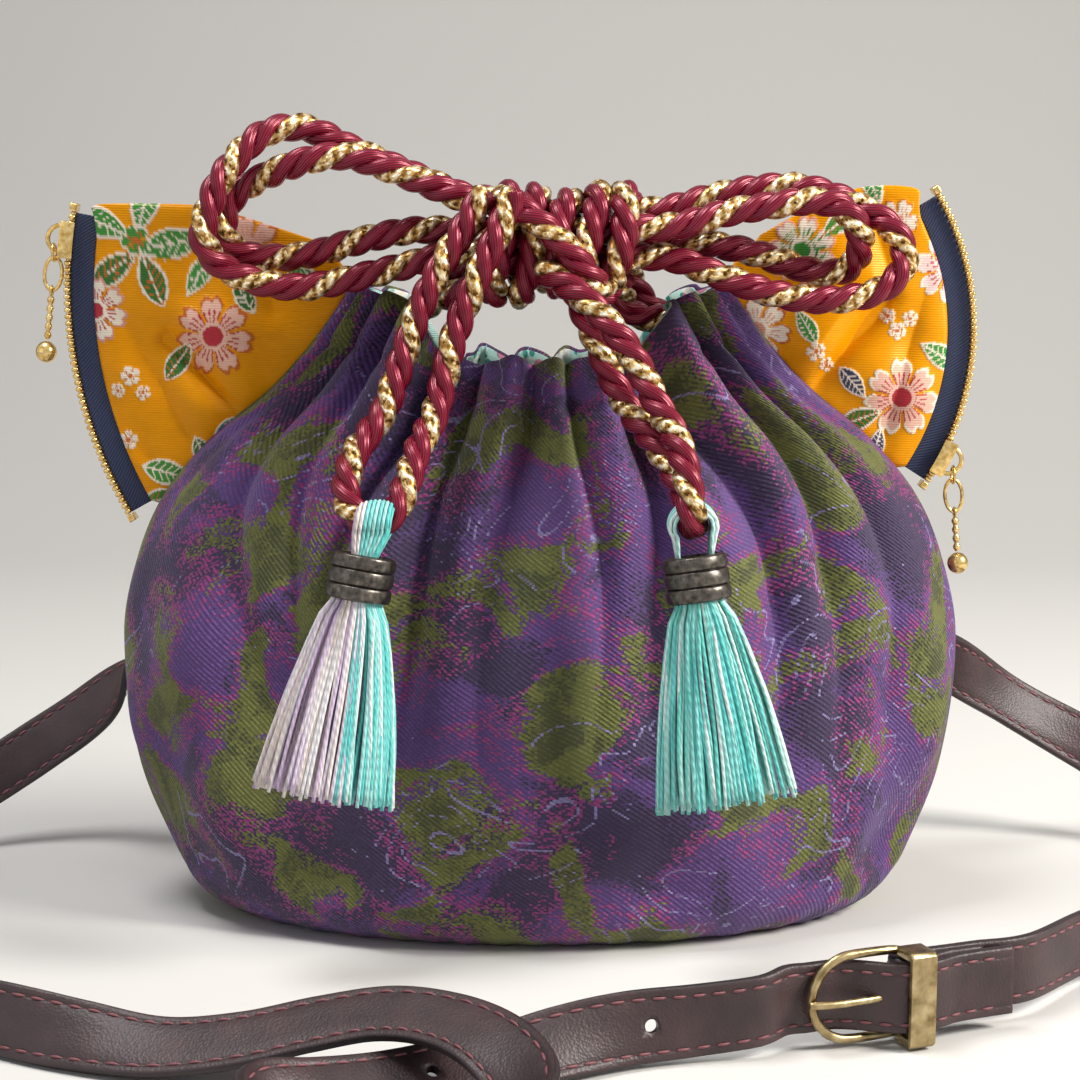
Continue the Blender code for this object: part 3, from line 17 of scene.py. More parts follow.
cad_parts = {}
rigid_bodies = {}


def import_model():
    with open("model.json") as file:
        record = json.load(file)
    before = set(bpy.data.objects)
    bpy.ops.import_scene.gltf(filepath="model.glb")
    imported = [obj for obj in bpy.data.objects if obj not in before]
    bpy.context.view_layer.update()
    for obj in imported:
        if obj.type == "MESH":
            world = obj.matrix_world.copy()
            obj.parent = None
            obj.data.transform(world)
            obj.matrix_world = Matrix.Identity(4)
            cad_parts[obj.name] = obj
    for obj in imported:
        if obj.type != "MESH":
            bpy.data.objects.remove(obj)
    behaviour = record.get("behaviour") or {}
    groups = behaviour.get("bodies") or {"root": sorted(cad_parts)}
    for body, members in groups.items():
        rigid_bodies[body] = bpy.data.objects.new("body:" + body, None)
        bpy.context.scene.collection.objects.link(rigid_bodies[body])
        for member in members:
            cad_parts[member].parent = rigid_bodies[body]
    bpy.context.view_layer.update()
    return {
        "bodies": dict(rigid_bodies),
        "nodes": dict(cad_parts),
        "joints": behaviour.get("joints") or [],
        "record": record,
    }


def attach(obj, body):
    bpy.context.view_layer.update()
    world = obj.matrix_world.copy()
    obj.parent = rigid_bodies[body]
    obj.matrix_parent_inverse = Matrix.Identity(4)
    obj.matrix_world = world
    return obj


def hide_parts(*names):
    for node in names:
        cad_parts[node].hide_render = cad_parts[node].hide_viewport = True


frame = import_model()
MM = 0.001
rng = np.random.default_rng(11)

# %% [markdown]
# ## Camera
#
# The photograph looks slightly down on the bag through a long lens. The flat base shows as a thin
# oval, and how thin it is gives the camera's height over the table. A camera can be aimed with
# a constraint, but three plain numbers are easier to read and to change.

# %% Camera
CAMERA_PLACE = (0.0, -0.540, 0.170)
CAMERA_TILT_DEG = 81.8
CAMERA_LENS_MM = 72.2

camera = bpy.data.objects.new("camera", bpy.data.cameras.new("camera"))
camera.location = CAMERA_PLACE
camera.rotation_euler = (math.radians(CAMERA_TILT_DEG), 0.0, 0.0)
camera.data.lens = CAMERA_LENS_MM
camera.data.sensor_width = 36.0
camera.data.clip_start = 0.02
bpy.context.scene.collection.objects.link(camera)
bpy.context.scene.camera = camera
print("camera", CAMERA_PLACE, "lens", CAMERA_LENS_MM, "mm")

# %% [markdown]
# ## Colour and nodes
#
# Colours are easiest to judge as sRGB hex values, but shaders count in linear light, so one function
# turns the one into the other. One more function adds a node, sets its properties and links it. A
# material's plain constants sit on the shader's own sockets.

# %% Colour and node helpers
def linear(hex_colour, alpha=True):
    """An sRGB hex value as linear red, green, blue and alpha."""
    parts = [int(hex_colour[i:i + 2], 16) / 255.0 for i in (1, 3, 5)]
    light = [c / 12.92 if c <= 0.04045 else ((c + 0.055) / 1.055) ** 2.4 for c in parts]
    return (*light, 1.0) if alpha else np.array(light)


def add(tree, kind, inputs=None, stops=(), to=None, **settings):
    """Add one node: settings are its properties, inputs are values or the sockets that feed it.

    A colour ramp takes (position, hex colour) stops. A node's first output can go straight to a socket.
    """
    node = tree.nodes.new(kind)
    for name, value in settings.items():
        setattr(node, name, value)
    for name, value in (inputs or {}).items():
        if isinstance(value, bpy.types.NodeSocket):
            tree.links.new(value, node.inputs[name])
        else:
            node.inputs[name].default_value = value
    if stops:
        elements = node.color_ramp.elements
        while len(elements) < len(stops):
            elements.new(0.5)
        for element, (position, colour) in zip(elements, stops):
            element.position = position
            element.color = linear(colour)
    if to:
        tree.links.new(node.outputs[0], to)
    return node


def start_material(name, colour, roughness, metallic=0.0, **sockets):
    """A material with its constants on the shader's own sockets, and its tree and shader."""
    material = bpy.data.materials.new(name)
    material.use_nodes = True
    shader = material.node_tree.nodes["Principled BSDF"]
    shader.inputs["Base Color"].default_value = linear(colour)
    shader.inputs["Roughness"].default_value = roughness
    shader.inputs["Metallic"].default_value = metallic
    for socket, value in sockets.items():
        shader.inputs[socket.replace("_", " ")].default_value = value
    return material, material.node_tree, shader


print("deep burgundy in linear light:", [round(v, 3) for v in linear("#7A1328")])

# %% [markdown]
# ## Building meshes from nets
#
# Ropes, threads, ribbons, cloth walls and pockets are all one idea: a closed outline that is carried
# along a line. Each gives a net of points, rows along the line and columns round the outline.
# A small class gathers such nets into one mesh. It also stores each point's place on the
# material in metres, so that weaves keep their real scale, and a tint.

# %% Nets
class Pile:
    """Nets gathered into one piece, each with its places on the cloth, its tint and its finish."""

    def __init__(self):
        self.points, self.faces, self.places, self.tints, self.finishes = [], [], [], [], []
        self.count = 0

    def net(self, points, u, v, tint=(1.0, 1.0, 1.0), finish=0, ringed=False):
        """Add a net: columns always close on themselves, and rows too where it is ringed."""
        rows, cols = points.shape[:2]
        u = np.broadcast_to(u, (rows + 1, cols + 1))
        v = np.broadcast_to(v, (rows + 1, cols + 1))
        r, c = np.meshgrid(np.arange(rows if ringed else rows - 1), np.arange(cols), indexing="ij")
        r = np.stack([r, r, r + 1, r + 1], -1).reshape(-1, 4)
        c = np.stack([c, c + 1, c + 1, c], -1).reshape(-1, 4)
        if not ringed:
            i = np.arange(cols // 2 - 1)
            cap = np.stack([i + 1, i, cols - 1 - i, cols - 2 - i], 1)
            r = np.concatenate([r, np.zeros_like(cap), np.full_like(cap, rows - 1)])
            c = np.concatenate([c, cap, cap[:, ::-1]])
        self.points.append(points.reshape(-1, 3))
        self.faces.append(self.count + (r % rows) * cols + c % cols)
        self.places.append(np.stack([u[r, c], v[r, c]], -1).reshape(-1, 2))
        self.tints.append(np.broadcast_to(tint, (rows, cols, 3)).reshape(-1, 3))
        self.finishes.append(np.full(len(r), finish))
        self.count += rows * cols

    def make(self, name, materials, body="bag", replaces=()):
        """Turn the nets into a smooth piece that rides on a body and stands for CAD nodes."""
        mesh = bpy.data.meshes.new(name)
        mesh.from_pydata(np.concatenate(self.points).tolist(), [], np.concatenate(self.faces).tolist())
        for material in materials:
            mesh.materials.append(material)
        mesh.polygons.foreach_set("material_index", np.concatenate(self.finishes).astype(np.int32))
        mesh.uv_layers.new(name="places").data.foreach_set("uv", np.concatenate(self.places).ravel())
        tints = np.ones((self.count, 4))
        tints[:, :3] = np.concatenate(self.tints)
        mesh.attributes.new("tint", "FLOAT_COLOR", "POINT").data.foreach_set("color", tints.ravel())
        builder = bmesh.new()
        builder.from_mesh(mesh)
        bmesh.ops.recalc_face_normals(builder, faces=builder.faces)
        builder.to_mesh(mesh)
        builder.free()
        mesh.shade_smooth()
        piece = bpy.data.objects.new(name, mesh)
        bpy.context.scene.collection.objects.link(piece)
        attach(piece, body)
        if replaces:
            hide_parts(*replaces)
        print("%-22s %6d faces" % (name, len(mesh.polygons)))
        return piece


def smooth_line(points, spacing):
    """Points about one spacing apart on the smooth curve through a route, in any dimension."""
    points = np.array(points, float)
    out = []
    for i in range(len(points) - 1):
        a, b = points[max(0, i - 1)], points[i]
        c, d = points[i + 1], points[min(len(points) - 1, i + 2)]
        steps = max(1, round(np.linalg.norm((c - b)[:3]) / spacing))
        for t in np.linspace(0.0, 1.0, steps, endpoint=False):
            out.append(0.5 * (2 * b + (c - a) * t + (2 * a - 5 * b + 4 * c - d) * t**2
                              + (3 * b - 3 * c + d - a) * t**3))
    return np.array(out + [points[-1]])


def run_of(line):
    """Distance along a line at each of its points."""
    return np.concatenate([[0.0], np.cumsum(np.linalg.norm(np.diff(line, axis=0), axis=1))])


def unit(vectors):
    return vectors / np.maximum(np.linalg.norm(vectors, axis=-1, keepdims=True), 1e-12)


def carried_sides(line):
    """Two directions square to a line, carried along it without twisting."""
    tangent = unit(np.gradient(line, axis=0))
    side = np.cross(tangent[0], (0.0, 0.0, 1.0) if abs(tangent[0][2]) < 0.9 else (1.0, 0.0, 0.0))
    sides = []
    for t in tangent:
        side = side - t * np.dot(side, t)
        side = side / np.linalg.norm(side)
        sides.append(side)
    sides = np.array(sides)
    return sides, np.cross(tangent, sides)


def tube(pile, line, radius, sides, tint=(1.0, 1.0, 1.0), finish=0):
    """Carry a circle along a line; radius may change along it."""
    line = np.asarray(line, float)
    first, second = carried_sides(line)
    angle = 2.0 * np.pi * np.arange(sides) / sides
    ring = first[:, None] * np.cos(angle)[:, None] + second[:, None] * np.sin(angle)[:, None]
    reach = np.broadcast_to(radius, len(line))[:, None, None]
    run = run_of(line)
    pile.net(line[:, None] + ring * reach, np.arange(sides + 1) / sides,
             np.append(run, run[-1])[:, None], tint, finish)


print("helpers for nets are ready")

# %% [markdown]
# ## Twisted cord
#
# The drawstring is three-strand satin cord: two strands of burgundy viscose, whose fine parallel
# threads give a soft silky gloss, and one strand of braided metallic yarn that glitters. Each
# strand is a helix round the cord's line. The threads are finer than the render can show as
# geometry, so a wave over the strand's own places draws them as colour and bump. The metallic
# strand's colour also carries painted glints.

# %% Cord finishes
STRAND_ROUND = 11.4 * MM


def striped(tree, place, along_turn, along_run):
    """A sine from 0 to 1: so many stripes a turn and so many a metre."""
    rate = (2 * math.pi * along_turn, 2 * math.pi * along_run, 0.0)
    turns = add(tree, "ShaderNodeVectorMath", {0: place, 1: rate}, operation="DOT_PRODUCT")
    wave = add(tree, "ShaderNodeMath", {0: turns.outputs["Value"]}, operation="SINE")
    return add(tree, "ShaderNodeMath", {0: wave.outputs[0], 1: 0.5, 2: 0.5},
               operation="MULTIPLY_ADD").outputs[0]


def make_satin_strand():
    material, tree, shader = start_material("burgundy_satin_strand", "#6A0A22", 0.27,
                                            Specular_IOR_Level=0.85, Specular_Tint=linear("#FF9CAA"))
    place = add(tree, "ShaderNodeUVMap", uv_map="places").outputs["UV"]
    threads = striped(tree, place, 19.0, 110.0)
    add(tree, "ShaderNodeValToRGB", {"Fac": threads}, to=shader.inputs["Base Color"],
        stops=[(0.0, "#3E0513"), (0.5, "#660B22"), (1.0, "#8C1835")])
    add(tree, "ShaderNodeBump", {"Height": threads, "Distance": 0.05 * MM}, to=shader.inputs["Normal"])
    return material


def make_metallic_strand():
    material, tree, shader = start_material("braided_metallic_yarn", "#C8A468", 0.34, 0.8)
    place = add(tree, "ShaderNodeUVMap", uv_map="places").outputs["UV"]
    in_mm = add(tree, "ShaderNodeVectorMath", {0: place, 1: (STRAND_ROUND / MM, 1.0 / MM, 0.0)},
                operation="MULTIPLY").outputs[0]
    # Voronoi cells lift the yarn's colour toward near white: these are painted glints on its loops.
    painted_glint_cells = add(tree, "ShaderNodeTexVoronoi", {"Vector": in_mm, "Scale": 1.5})
    glint = add(tree, "ShaderNodeSeparateColor", {0: painted_glint_cells.outputs["Color"]}).outputs[0]
    ply = striped(tree, place, 2.0, 330.0)
    tone = add(tree, "ShaderNodeMath", {0: ply, 1: 0.45, 2: 0.0}, operation="MULTIPLY_ADD").outputs[0]
    mixed = add(tree, "ShaderNodeMath", {0: glint, 1: 0.55, 2: tone}, operation="MULTIPLY_ADD").outputs[0]
    add(tree, "ShaderNodeValToRGB", {"Fac": mixed}, to=shader.inputs["Base Color"],
        stops=[(0.08, "#4A2F12"), (0.35, "#A87A3C"), (0.65, "#E6CB92"), (0.85, "#FFF6E0")])
    add(tree, "ShaderNodeBump", {"Height": mixed, "Distance": 0.45 * MM}, to=shader.inputs["Normal"])
    return material


CORD_FINISHES = [make_satin_strand(), make_metallic_strand()]

# %% Lay three strands round a line
STRAND_RADIUS = 1.82 * MM
STRAND_OFFSET = 1.70 * MM
CORD_PITCH = 17.5 * MM
STRAND_SIDES = 12


def lay_cord(pile, line, phase):
    """Two satin strands and one metallic strand, twisted round a line."""
    first, second = carried_sides(line)
    turn = phase - 2.0 * np.pi * run_of(line) / CORD_PITCH
    for strand in range(3):
        angle = (turn + 2.0 * np.pi * strand / 3.0)[:, None]
        centre = line + STRAND_OFFSET * (first * np.cos(angle) + second * np.sin(angle))
        tube(pile, centre, STRAND_RADIUS, STRAND_SIDES, finish=1 if strand == 2 else 0)


# %% [markdown]
# ## The bow's cords
#
# The same points as in the CAD give each cord's route, so the dressed cord lies where its
# solid lies. Each loop leaves the knot and goes back into it. Each tail comes down from the knot,
# turns under its tassel's head and climbs back. At their hidden ends the cords reach a few
# millimetres into the knot.

# %% Cord routes
KNOT_LEFT = -14.3 * MM
KNOT_RIGHT = 26.3 * MM
CORD_ROUTES = {
    "loop_left_outer": [
        (KNOT_LEFT, -0.0105, 0.1769), (-0.0165, -0.0105, 0.1769), (-0.0242, -0.0100, 0.1800),
        (-0.0362, -0.0100, 0.1850), (-0.0455, -0.0105, 0.1890), (-0.0539, -0.0120, 0.1930),
        (-0.0591, -0.0130, 0.1939), (-0.0651, -0.0150, 0.1926), (-0.0699, -0.0170, 0.1890),
        (-0.0737, -0.0190, 0.1843), (-0.0767, -0.0205, 0.1793), (-0.0799, -0.0210, 0.1700),
        (-0.0795, -0.0200, 0.1655), (-0.0767, -0.0180, 0.1615), (-0.0720, -0.0165, 0.1586),
        (-0.0645, -0.0155, 0.1564), (-0.0566, -0.0150, 0.1559), (-0.0481, -0.0150, 0.1573),
        (-0.0397, -0.0150, 0.1592), (-0.0312, -0.0158, 0.1613), (-0.0240, -0.0170, 0.1632),
        (-0.0168, -0.0175, 0.1640), (KNOT_LEFT, -0.0175, 0.1640)],
    "loop_left_inner": [
        (KNOT_LEFT, -0.0185, 0.1763), (-0.0165, -0.0185, 0.1763), (-0.0238, -0.0182, 0.1792),
        (-0.0356, -0.0180, 0.1838), (-0.0449, -0.0180, 0.1867), (-0.0527, -0.0180, 0.1864),
        (-0.0595, -0.0170, 0.1846), (-0.0661, -0.0140, 0.1821), (-0.0709, -0.0125, 0.1797),
        (-0.0742, -0.0120, 0.1769), (-0.0759, -0.0120, 0.1733), (-0.0763, -0.0115, 0.1693),
        (-0.0747, -0.0100, 0.1656), (-0.0699, -0.0093, 0.1632), (-0.0626, -0.0095, 0.1628),
        (-0.0549, -0.0105, 0.1638), (-0.0469, -0.0115, 0.1660), (-0.0397, -0.0125, 0.1678),
        (-0.0324, -0.0125, 0.1692), (-0.0240, -0.0118, 0.1696), (-0.0168, -0.0115, 0.1692),
        (KNOT_LEFT, -0.0115, 0.1692)],
    "loop_right_outer": [
        (KNOT_RIGHT, -0.0130, 0.1742), (0.0290, -0.0130, 0.1742), (0.0337, -0.0125, 0.1752),
        (0.0409, -0.0120, 0.1773), (0.0494, -0.0115, 0.1790), (0.0598, -0.0110, 0.1800),
        (0.0675, -0.0110, 0.1788), (0.0745, -0.0115, 0.1762), (0.0796, -0.0130, 0.1735),
        (0.0833, -0.0145, 0.1709), (0.0858, -0.0160, 0.1678), (0.0871, -0.0172, 0.1645),
        (0.0868, -0.0182, 0.1612), (0.0846, -0.0192, 0.1577), (0.0800, -0.0198, 0.1548),
        (0.0740, -0.0200, 0.1534), (0.0657, -0.0200, 0.1530), (0.0561, -0.0200, 0.1544),
        (0.0477, -0.0198, 0.1570), (0.0394, -0.0190, 0.1600), (0.0330, -0.0175, 0.1624),
        (0.0286, -0.0170, 0.1631), (KNOT_RIGHT, -0.0170, 0.1631)],
    "loop_right_inner": [
        (KNOT_RIGHT, -0.0210, 0.1700), (0.0290, -0.0210, 0.1700), (0.0356, -0.0206, 0.1712),
        (0.0451, -0.0197, 0.1737), (0.0558, -0.0195, 0.1754), (0.0646, -0.0195, 0.1763),
        (0.0712, -0.0197, 0.1751), (0.0750, -0.0197, 0.1712), (0.0768, -0.0170, 0.1669),
        (0.0763, -0.0140, 0.1628), (0.0738, -0.0120, 0.1599), (0.0678, -0.0115, 0.1592),
        (0.0593, -0.0115, 0.1616), (0.0503, -0.0115, 0.1644), (0.0415, -0.0110, 0.1660),
        (0.0339, -0.0098, 0.1668), (0.0288, -0.0095, 0.1668), (KNOT_RIGHT, -0.0095, 0.1668)],
    "lead_left_front": [
        (-0.0356, -0.0042, 0.1488), (-0.0322, -0.0042, 0.1488), (-0.0280, -0.0050, 0.1510),
        (-0.0240, -0.0076, 0.1528), (-0.0195, -0.0118, 0.1546), (-0.0162, -0.0145, 0.1556),
        (KNOT_LEFT, -0.0145, 0.1556)],
    "lead_left_back": [
        (-0.0356, 0.0042, 0.1488), (-0.0322, 0.0042, 0.1488), (-0.0280, 0.0024, 0.1526),
        (-0.0240, -0.0012, 0.1574), (-0.0195, -0.0059, 0.1600), (-0.0162, -0.0088, 0.1609),
        (KNOT_LEFT, -0.0088, 0.1609)],
    "lead_right_front": [
        (0.0356, -0.0042, 0.1480), (0.0320, -0.0040, 0.1480), (0.0270, -0.0040, 0.1480),
        (0.0236, -0.0046, 0.1488), (0.0214, -0.0060, 0.1506), (0.0203, -0.0081, 0.1526),
        (0.0200, -0.0100, 0.1542)],
    "lead_right_back": [
        (0.0356, 0.0042, 0.1480), (0.0320, 0.0041, 0.1481), (0.0270, 0.0038, 0.1508),
        (0.0236, 0.0034, 0.1560), (0.0214, 0.0016, 0.1606), (0.0203, -0.0020, 0.1628),
        (0.0200, -0.0062, 0.1630)],
    "tail_left": [
        (-0.0155, -0.0283, 0.1740), (-0.0183, -0.0290, 0.1690), (-0.0219, -0.0302, 0.1633),
        (-0.0254, -0.0311, 0.1568), (-0.0284, -0.0313, 0.1503), (-0.0312, -0.0318, 0.1426),
        (-0.0335, -0.0330, 0.1356), (-0.0363, -0.0350, 0.1278), (-0.0396, -0.0380, 0.1229),
        (-0.0424, -0.0416, 0.1190), (-0.0442, -0.0464, 0.1136), (-0.0440, -0.0505, 0.1085),
        (-0.0412, -0.0535, 0.1052), (-0.0375, -0.0545, 0.1043), (-0.0338, -0.0542, 0.1053),
        (-0.0316, -0.0522, 0.1089), (-0.0299, -0.0486, 0.1140), (-0.0283, -0.0442, 0.1191),
        (-0.0264, -0.0404, 0.1231), (-0.0248, -0.0375, 0.1262), (-0.0233, -0.0348, 0.1316),
        (-0.0219, -0.0334, 0.1373), (-0.0204, -0.0326, 0.1437), (-0.0183, -0.0322, 0.1496),
        (-0.0159, -0.0322, 0.1554), (-0.0134, -0.0322, 0.1614), (-0.0105, -0.0318, 0.1672),
        (-0.0078, -0.0304, 0.1735)],
    "tail_right": [
        (0.0040, -0.0299, 0.1582), (0.0079, -0.0334, 0.1555), (0.0121, -0.0366, 0.1521),
        (0.0159, -0.0386, 0.1480), (0.0197, -0.0398, 0.1432), (0.0227, -0.0410, 0.1385),
        (0.0249, -0.0422, 0.1340), (0.0267, -0.0440, 0.1302), (0.0283, -0.0462, 0.1273),
        (0.0298, -0.0488, 0.1249), (0.0310, -0.0518, 0.1223), (0.0319, -0.0551, 0.1194),
        (0.0328, -0.0582, 0.1154), (0.0335, -0.0606, 0.1105), (0.0340, -0.0608, 0.1065),
        (0.0344, -0.0572, 0.1037), (0.0345, -0.0530, 0.1045), (0.0330, -0.0494, 0.1097),
        (0.0300, -0.0458, 0.1157), (0.0271, -0.0430, 0.1199), (0.0249, -0.0402, 0.1228),
        (0.0226, -0.0373, 0.1256), (0.0204, -0.0346, 0.1286), (0.0181, -0.0322, 0.1325),
        (0.0158, -0.0304, 0.1376), (0.0134, -0.0290, 0.1433), (0.0110, -0.0275, 0.1486),
        (0.0090, -0.0262, 0.1533)],
}
KNOT_REACH = 5.0 * MM
CORD_STEP = 0.8 * MM


def into_knot(points, start=True):
    """The route, continued straight into the knot at its end, and at its start if that lies there."""
    points = [np.array(p) for p in points]
    if start:
        points = [points[0] + unit(points[0] - points[1]) * KNOT_REACH] + points
    return points + [points[-1] + unit(points[-1] - points[-2]) * KNOT_REACH]


def make_bow_cord(name, phase, is_lead=False):
    line = smooth_line(into_knot(CORD_ROUTES[name], not is_lead), CORD_STEP)
    pile = Pile()
    lay_cord(pile, line, phase)
    piece = pile.make(name + "_cord", CORD_FINISHES, replaces=[name])


for number, side_and_ply in enumerate(("left_outer", "left_inner", "right_outer", "right_inner")):
    make_bow_cord("loop_" + side_and_ply, phase=1.3 * number)
for side in ("left", "right"):
    for row in ("front", "back"):
        make_bow_cord("lead_%s_%s" % (side, row), phase=0.7, is_lead=True)

# %% [markdown]
# ## The knot
#
# The cord is wound round the bow's middle. On the real bag the turns lie side by side, the
# left ones larger than the right ones, and one turn crosses the others in front. A helix whose
# height changes as it goes gives the turns. Two straight lengths inside fill its core.

# %% Knot
KNOT_MIDDLE = np.array((6.0, -17.0, 165.5)) * MM
WRAP_TURNS = 4.6
WRAP_SPACING = 7.1 * MM
WRAP_DEPTH = 7.3 * MM
CROSSING_TURN = [(-12.0, -22.5, 176.0), (-5.0, -28.2, 174.5), (3.0, -29.4, 168.5), (9.5, -29.0, 161.5),
                 (13.5, -26.5, 156.8), (16.0, -21.5, 155.0)]


def make_knot():
    pile = Pile()
    share = np.linspace(0.0, 1.0, 620)
    turn = 2.0 * np.pi * WRAP_TURNS * share - 0.5 * np.pi
    height = (12.2 - 1.6 * share + np.sin(9.0 * share)) * MM
    wobble = 0.7 * MM * np.sin(2.3 * turn)
    x = KNOT_MIDDLE[0] + (share - 0.5) * WRAP_TURNS * WRAP_SPACING + wobble - 0.8 * MM
    y = KNOT_MIDDLE[1] - WRAP_DEPTH * np.cos(turn)
    z = KNOT_MIDDLE[2] + (0.2 + 2.0 * share) * MM + (height - 0.6 * MM) * np.sin(turn)
    lay_cord(pile, np.stack([x, y, z], 1), 0.4)
    lay_cord(pile, smooth_line(np.array(CROSSING_TURN) * MM, CORD_STEP), 2.2)
    for lift in (-3.6, 3.6):
        core = np.linspace(KNOT_MIDDLE - (16.0 * MM, 0, 0), KNOT_MIDDLE + (16.0 * MM, 0, 0), 40)
        lay_cord(pile, core + np.array((0.0, 0.0, lift * MM)), 1.0)
    pile.make("bow_knot_cord", CORD_FINISHES, replaces=["bow_knot"])


make_knot()

# %% [markdown]
# ## Tassels
#
# A tassel is a hank of glossy rayon yarn, looped over the cord, bound by a ribbed collar and cut
# straight at the hem. Every yarn is its own thin tube here, because the gaps between yarns and
# their uneven ends are what the eye reads as a tassel. The yarn was dyed in stretches, so each
# yarn takes one of a few tints, by its side of the tassel.

# %% Tassel yarn
TASSELS = {
    "left": {"eye": (-37.6, -54.8, 103.7), "cord_along": 0,
             "collar": (-40.4, -57.6, 91.9), "hem": (-49.0, -64.0, 42.5),
             "split": 0.15,
             "left_tints": ["#E9DDEB", "#D9C3DF", "#F3E9E6", "#E4D6CF", "#CDB4D6", "#F1EEF0"],
             "right_tints": ["#7FD8D4", "#58CFCB", "#A9E6E2", "#E7F6F4", "#74D2CF", "#63CFC8"]},
    "right": {"eye": (34.4, -57.0, 103.7), "cord_along": 1,
              "collar": (35.2, -59.0, 91.9), "hem": (42.2, -65.0, 41.5),
              "split": 0.70,
              "left_tints": ["#86DAD5", "#5CCBC8", "#74D4CC", "#A5E4DD", "#68D0C6", "#DDF3F0"],
              "right_tints": ["#7FD8D0", "#A5E2DA", "#B9E9E2", "#63CDC6", "#E4F5F2", "#8BDCD5"]},
}
YARN_RADIUS = 0.46 * MM
YARN_SIDES = 6
YARNS = 200
COLLAR_LENGTH = 10.5 * MM
SKIRT_SPREAD = np.array([(0.0, 0.30), (0.06, 0.44), (0.25, 0.60), (0.5, 0.77), (0.75, 0.9), (1.0, 1.0)])
SKIRT_HALF_WIDTH = 15.8 * MM
SKIRT_DEPTH_SHARE = 0.50


def make_yarn():
    material, tree, shader = start_material("rayon_tassel_yarn", "#7FD8D4", 0.46, Sheen_Weight=0.25)
    place = add(tree, "ShaderNodeUVMap", uv_map="places").outputs["UV"]
    tint = add(tree, "ShaderNodeAttribute", attribute_name="tint").outputs["Color"]
    shifted = add(tree, "ShaderNodeVectorMath", {0: place, 1: tint}, operation="ADD").outputs[0]
    ply = striped(tree, shifted, 2.0, 420.0)
    # The ply stripes darken the yarn's tint by a fifth between its plies: painted shade in the grooves of
    # the twist.
    dark = add(tree, "ShaderNodeMix", {0: 0.22, 6: tint, 7: linear("#000000")}, data_type="RGBA").outputs[2]
    light = add(tree, "ShaderNodeMix", {0: ply, 6: dark, 7: tint}, data_type="RGBA").outputs[2]
    tree.links.new(light, shader.inputs["Base Color"])
    add(tree, "ShaderNodeBump", {"Height": ply, "Distance": 0.09 * MM}, to=shader.inputs["Normal"])
    return material


yarn = make_yarn()


def tassel_axes(tassel):
    collar, hem = np.array(tassel["collar"]) * MM, np.array(tassel["hem"]) * MM
    down = unit(hem - collar)
    across = unit(np.array((1.0, 0.0, 0.0)) - down * down[0])
    return collar, hem, down, across, np.cross(across, down)


def yarn_tint(tassel, side):
    """A yarn's colour, from where it lies between the tassel's left and right."""
    part = "left_tints" if side + rng.normal(0.0, 0.12) < tassel["split"] else "right_tints"
    return linear(tassel[part][rng.integers(len(tassel[part]))], alpha=False)


def make_tassel(side_name, tassel):
    collar, hem, down, across, front = tassel_axes(tassel)
    pile = Pile()
    top = collar + down * 0.5 * COLLAR_LENGTH
    length = np.linalg.norm(hem - top)
    share = np.linspace(-0.06, 1.0, 15)
    spread = np.interp(share, SKIRT_SPREAD[:, 0], SKIRT_SPREAD[:, 1])
    for k in range(YARNS):
        angle = rng.uniform(0.0, 2.0 * np.pi)
        reach = 1.0 if k < 0.62 * YARNS else math.sqrt(rng.uniform(0.05, 0.9))
        drift = rng.normal(0.0, 0.05) * share**2
        wave = rng.normal(0.0, 0.25 * MM) * np.sin(share * rng.uniform(3.0, 7.0) + rng.uniform(0.0, 6.0))
        width = SKIRT_HALF_WIDTH * spread * reach
        depth = np.maximum(5.0 * MM, SKIRT_HALF_WIDTH * spread * SKIRT_DEPTH_SHARE) * reach
        cut = length + rng.uniform(-1.6, 0.4) * MM
        line = (top + down * (share * cut)[:, None]
                + across * (width * np.cos(angle + drift) + wave)[:, None]
                + front * (depth * np.sin(angle + drift) + wave)[:, None])
        tube(pile, line, YARN_RADIUS, YARN_SIDES, yarn_tint(tassel, math.cos(angle) * reach))
    eye = np.array(tassel["eye"]) * MM
    along = np.eye(3)[tassel["cord_along"]]
    cross = unit(np.cross(along, down))
    bend = np.linspace(-0.15, 1.15, 15) * np.pi
    throat = collar - down * 0.5 * COLLAR_LENGTH
    for layer, radius in ((0, 4.4 * MM), (1, 5.3 * MM)):
        for k in np.linspace(-1.0, 1.0, 9 if layer == 0 else 8):
            offset = along * k * (3.9 - 0.5 * layer) * MM
            arch = (eye + offset + cross * (radius * np.cos(bend))[:, None]
                    - down * (radius * np.sin(bend) * (1.0 - 0.12 * k * k))[:, None])
            foot_a = throat + offset * 0.55 + cross * 3.6 * MM + down * 1.5 * MM
            foot_b = throat + offset * 0.55 - cross * 3.6 * MM + down * 1.5 * MM
            line = smooth_line(np.concatenate([[foot_a], arch, [foot_b]]), 0.9 * MM)
            tint_side = 0.9 if k > -0.6 or side_name == "right" else -0.6
            tube(pile, line, YARN_RADIUS, YARN_SIDES, yarn_tint(tassel, tint_side))
    return pile.make("tassel_yarns_" + side_name, [yarn],
                     replaces=["tassel_" + side_name])


# %% [markdown]
# The collar is a cast pewter ring with three ribs, darkened in its grooves. It is turned from a
# profile, like a lathe part, and its bore leaves room for the yarn.

# %% Tassel collars
COLLAR_PROFILE = [(0.0, 6.2), (0.2, 6.9), (0.7, 7.35), (2.2, 7.5), (3.1, 7.25), (3.4, 6.6), (3.7, 7.25),
                  (5.2, 7.5), (6.7, 7.25), (7.0, 6.6), (7.3, 7.25), (8.2, 7.5), (9.8, 7.35), (10.3, 6.9),
                  (10.5, 6.2)]


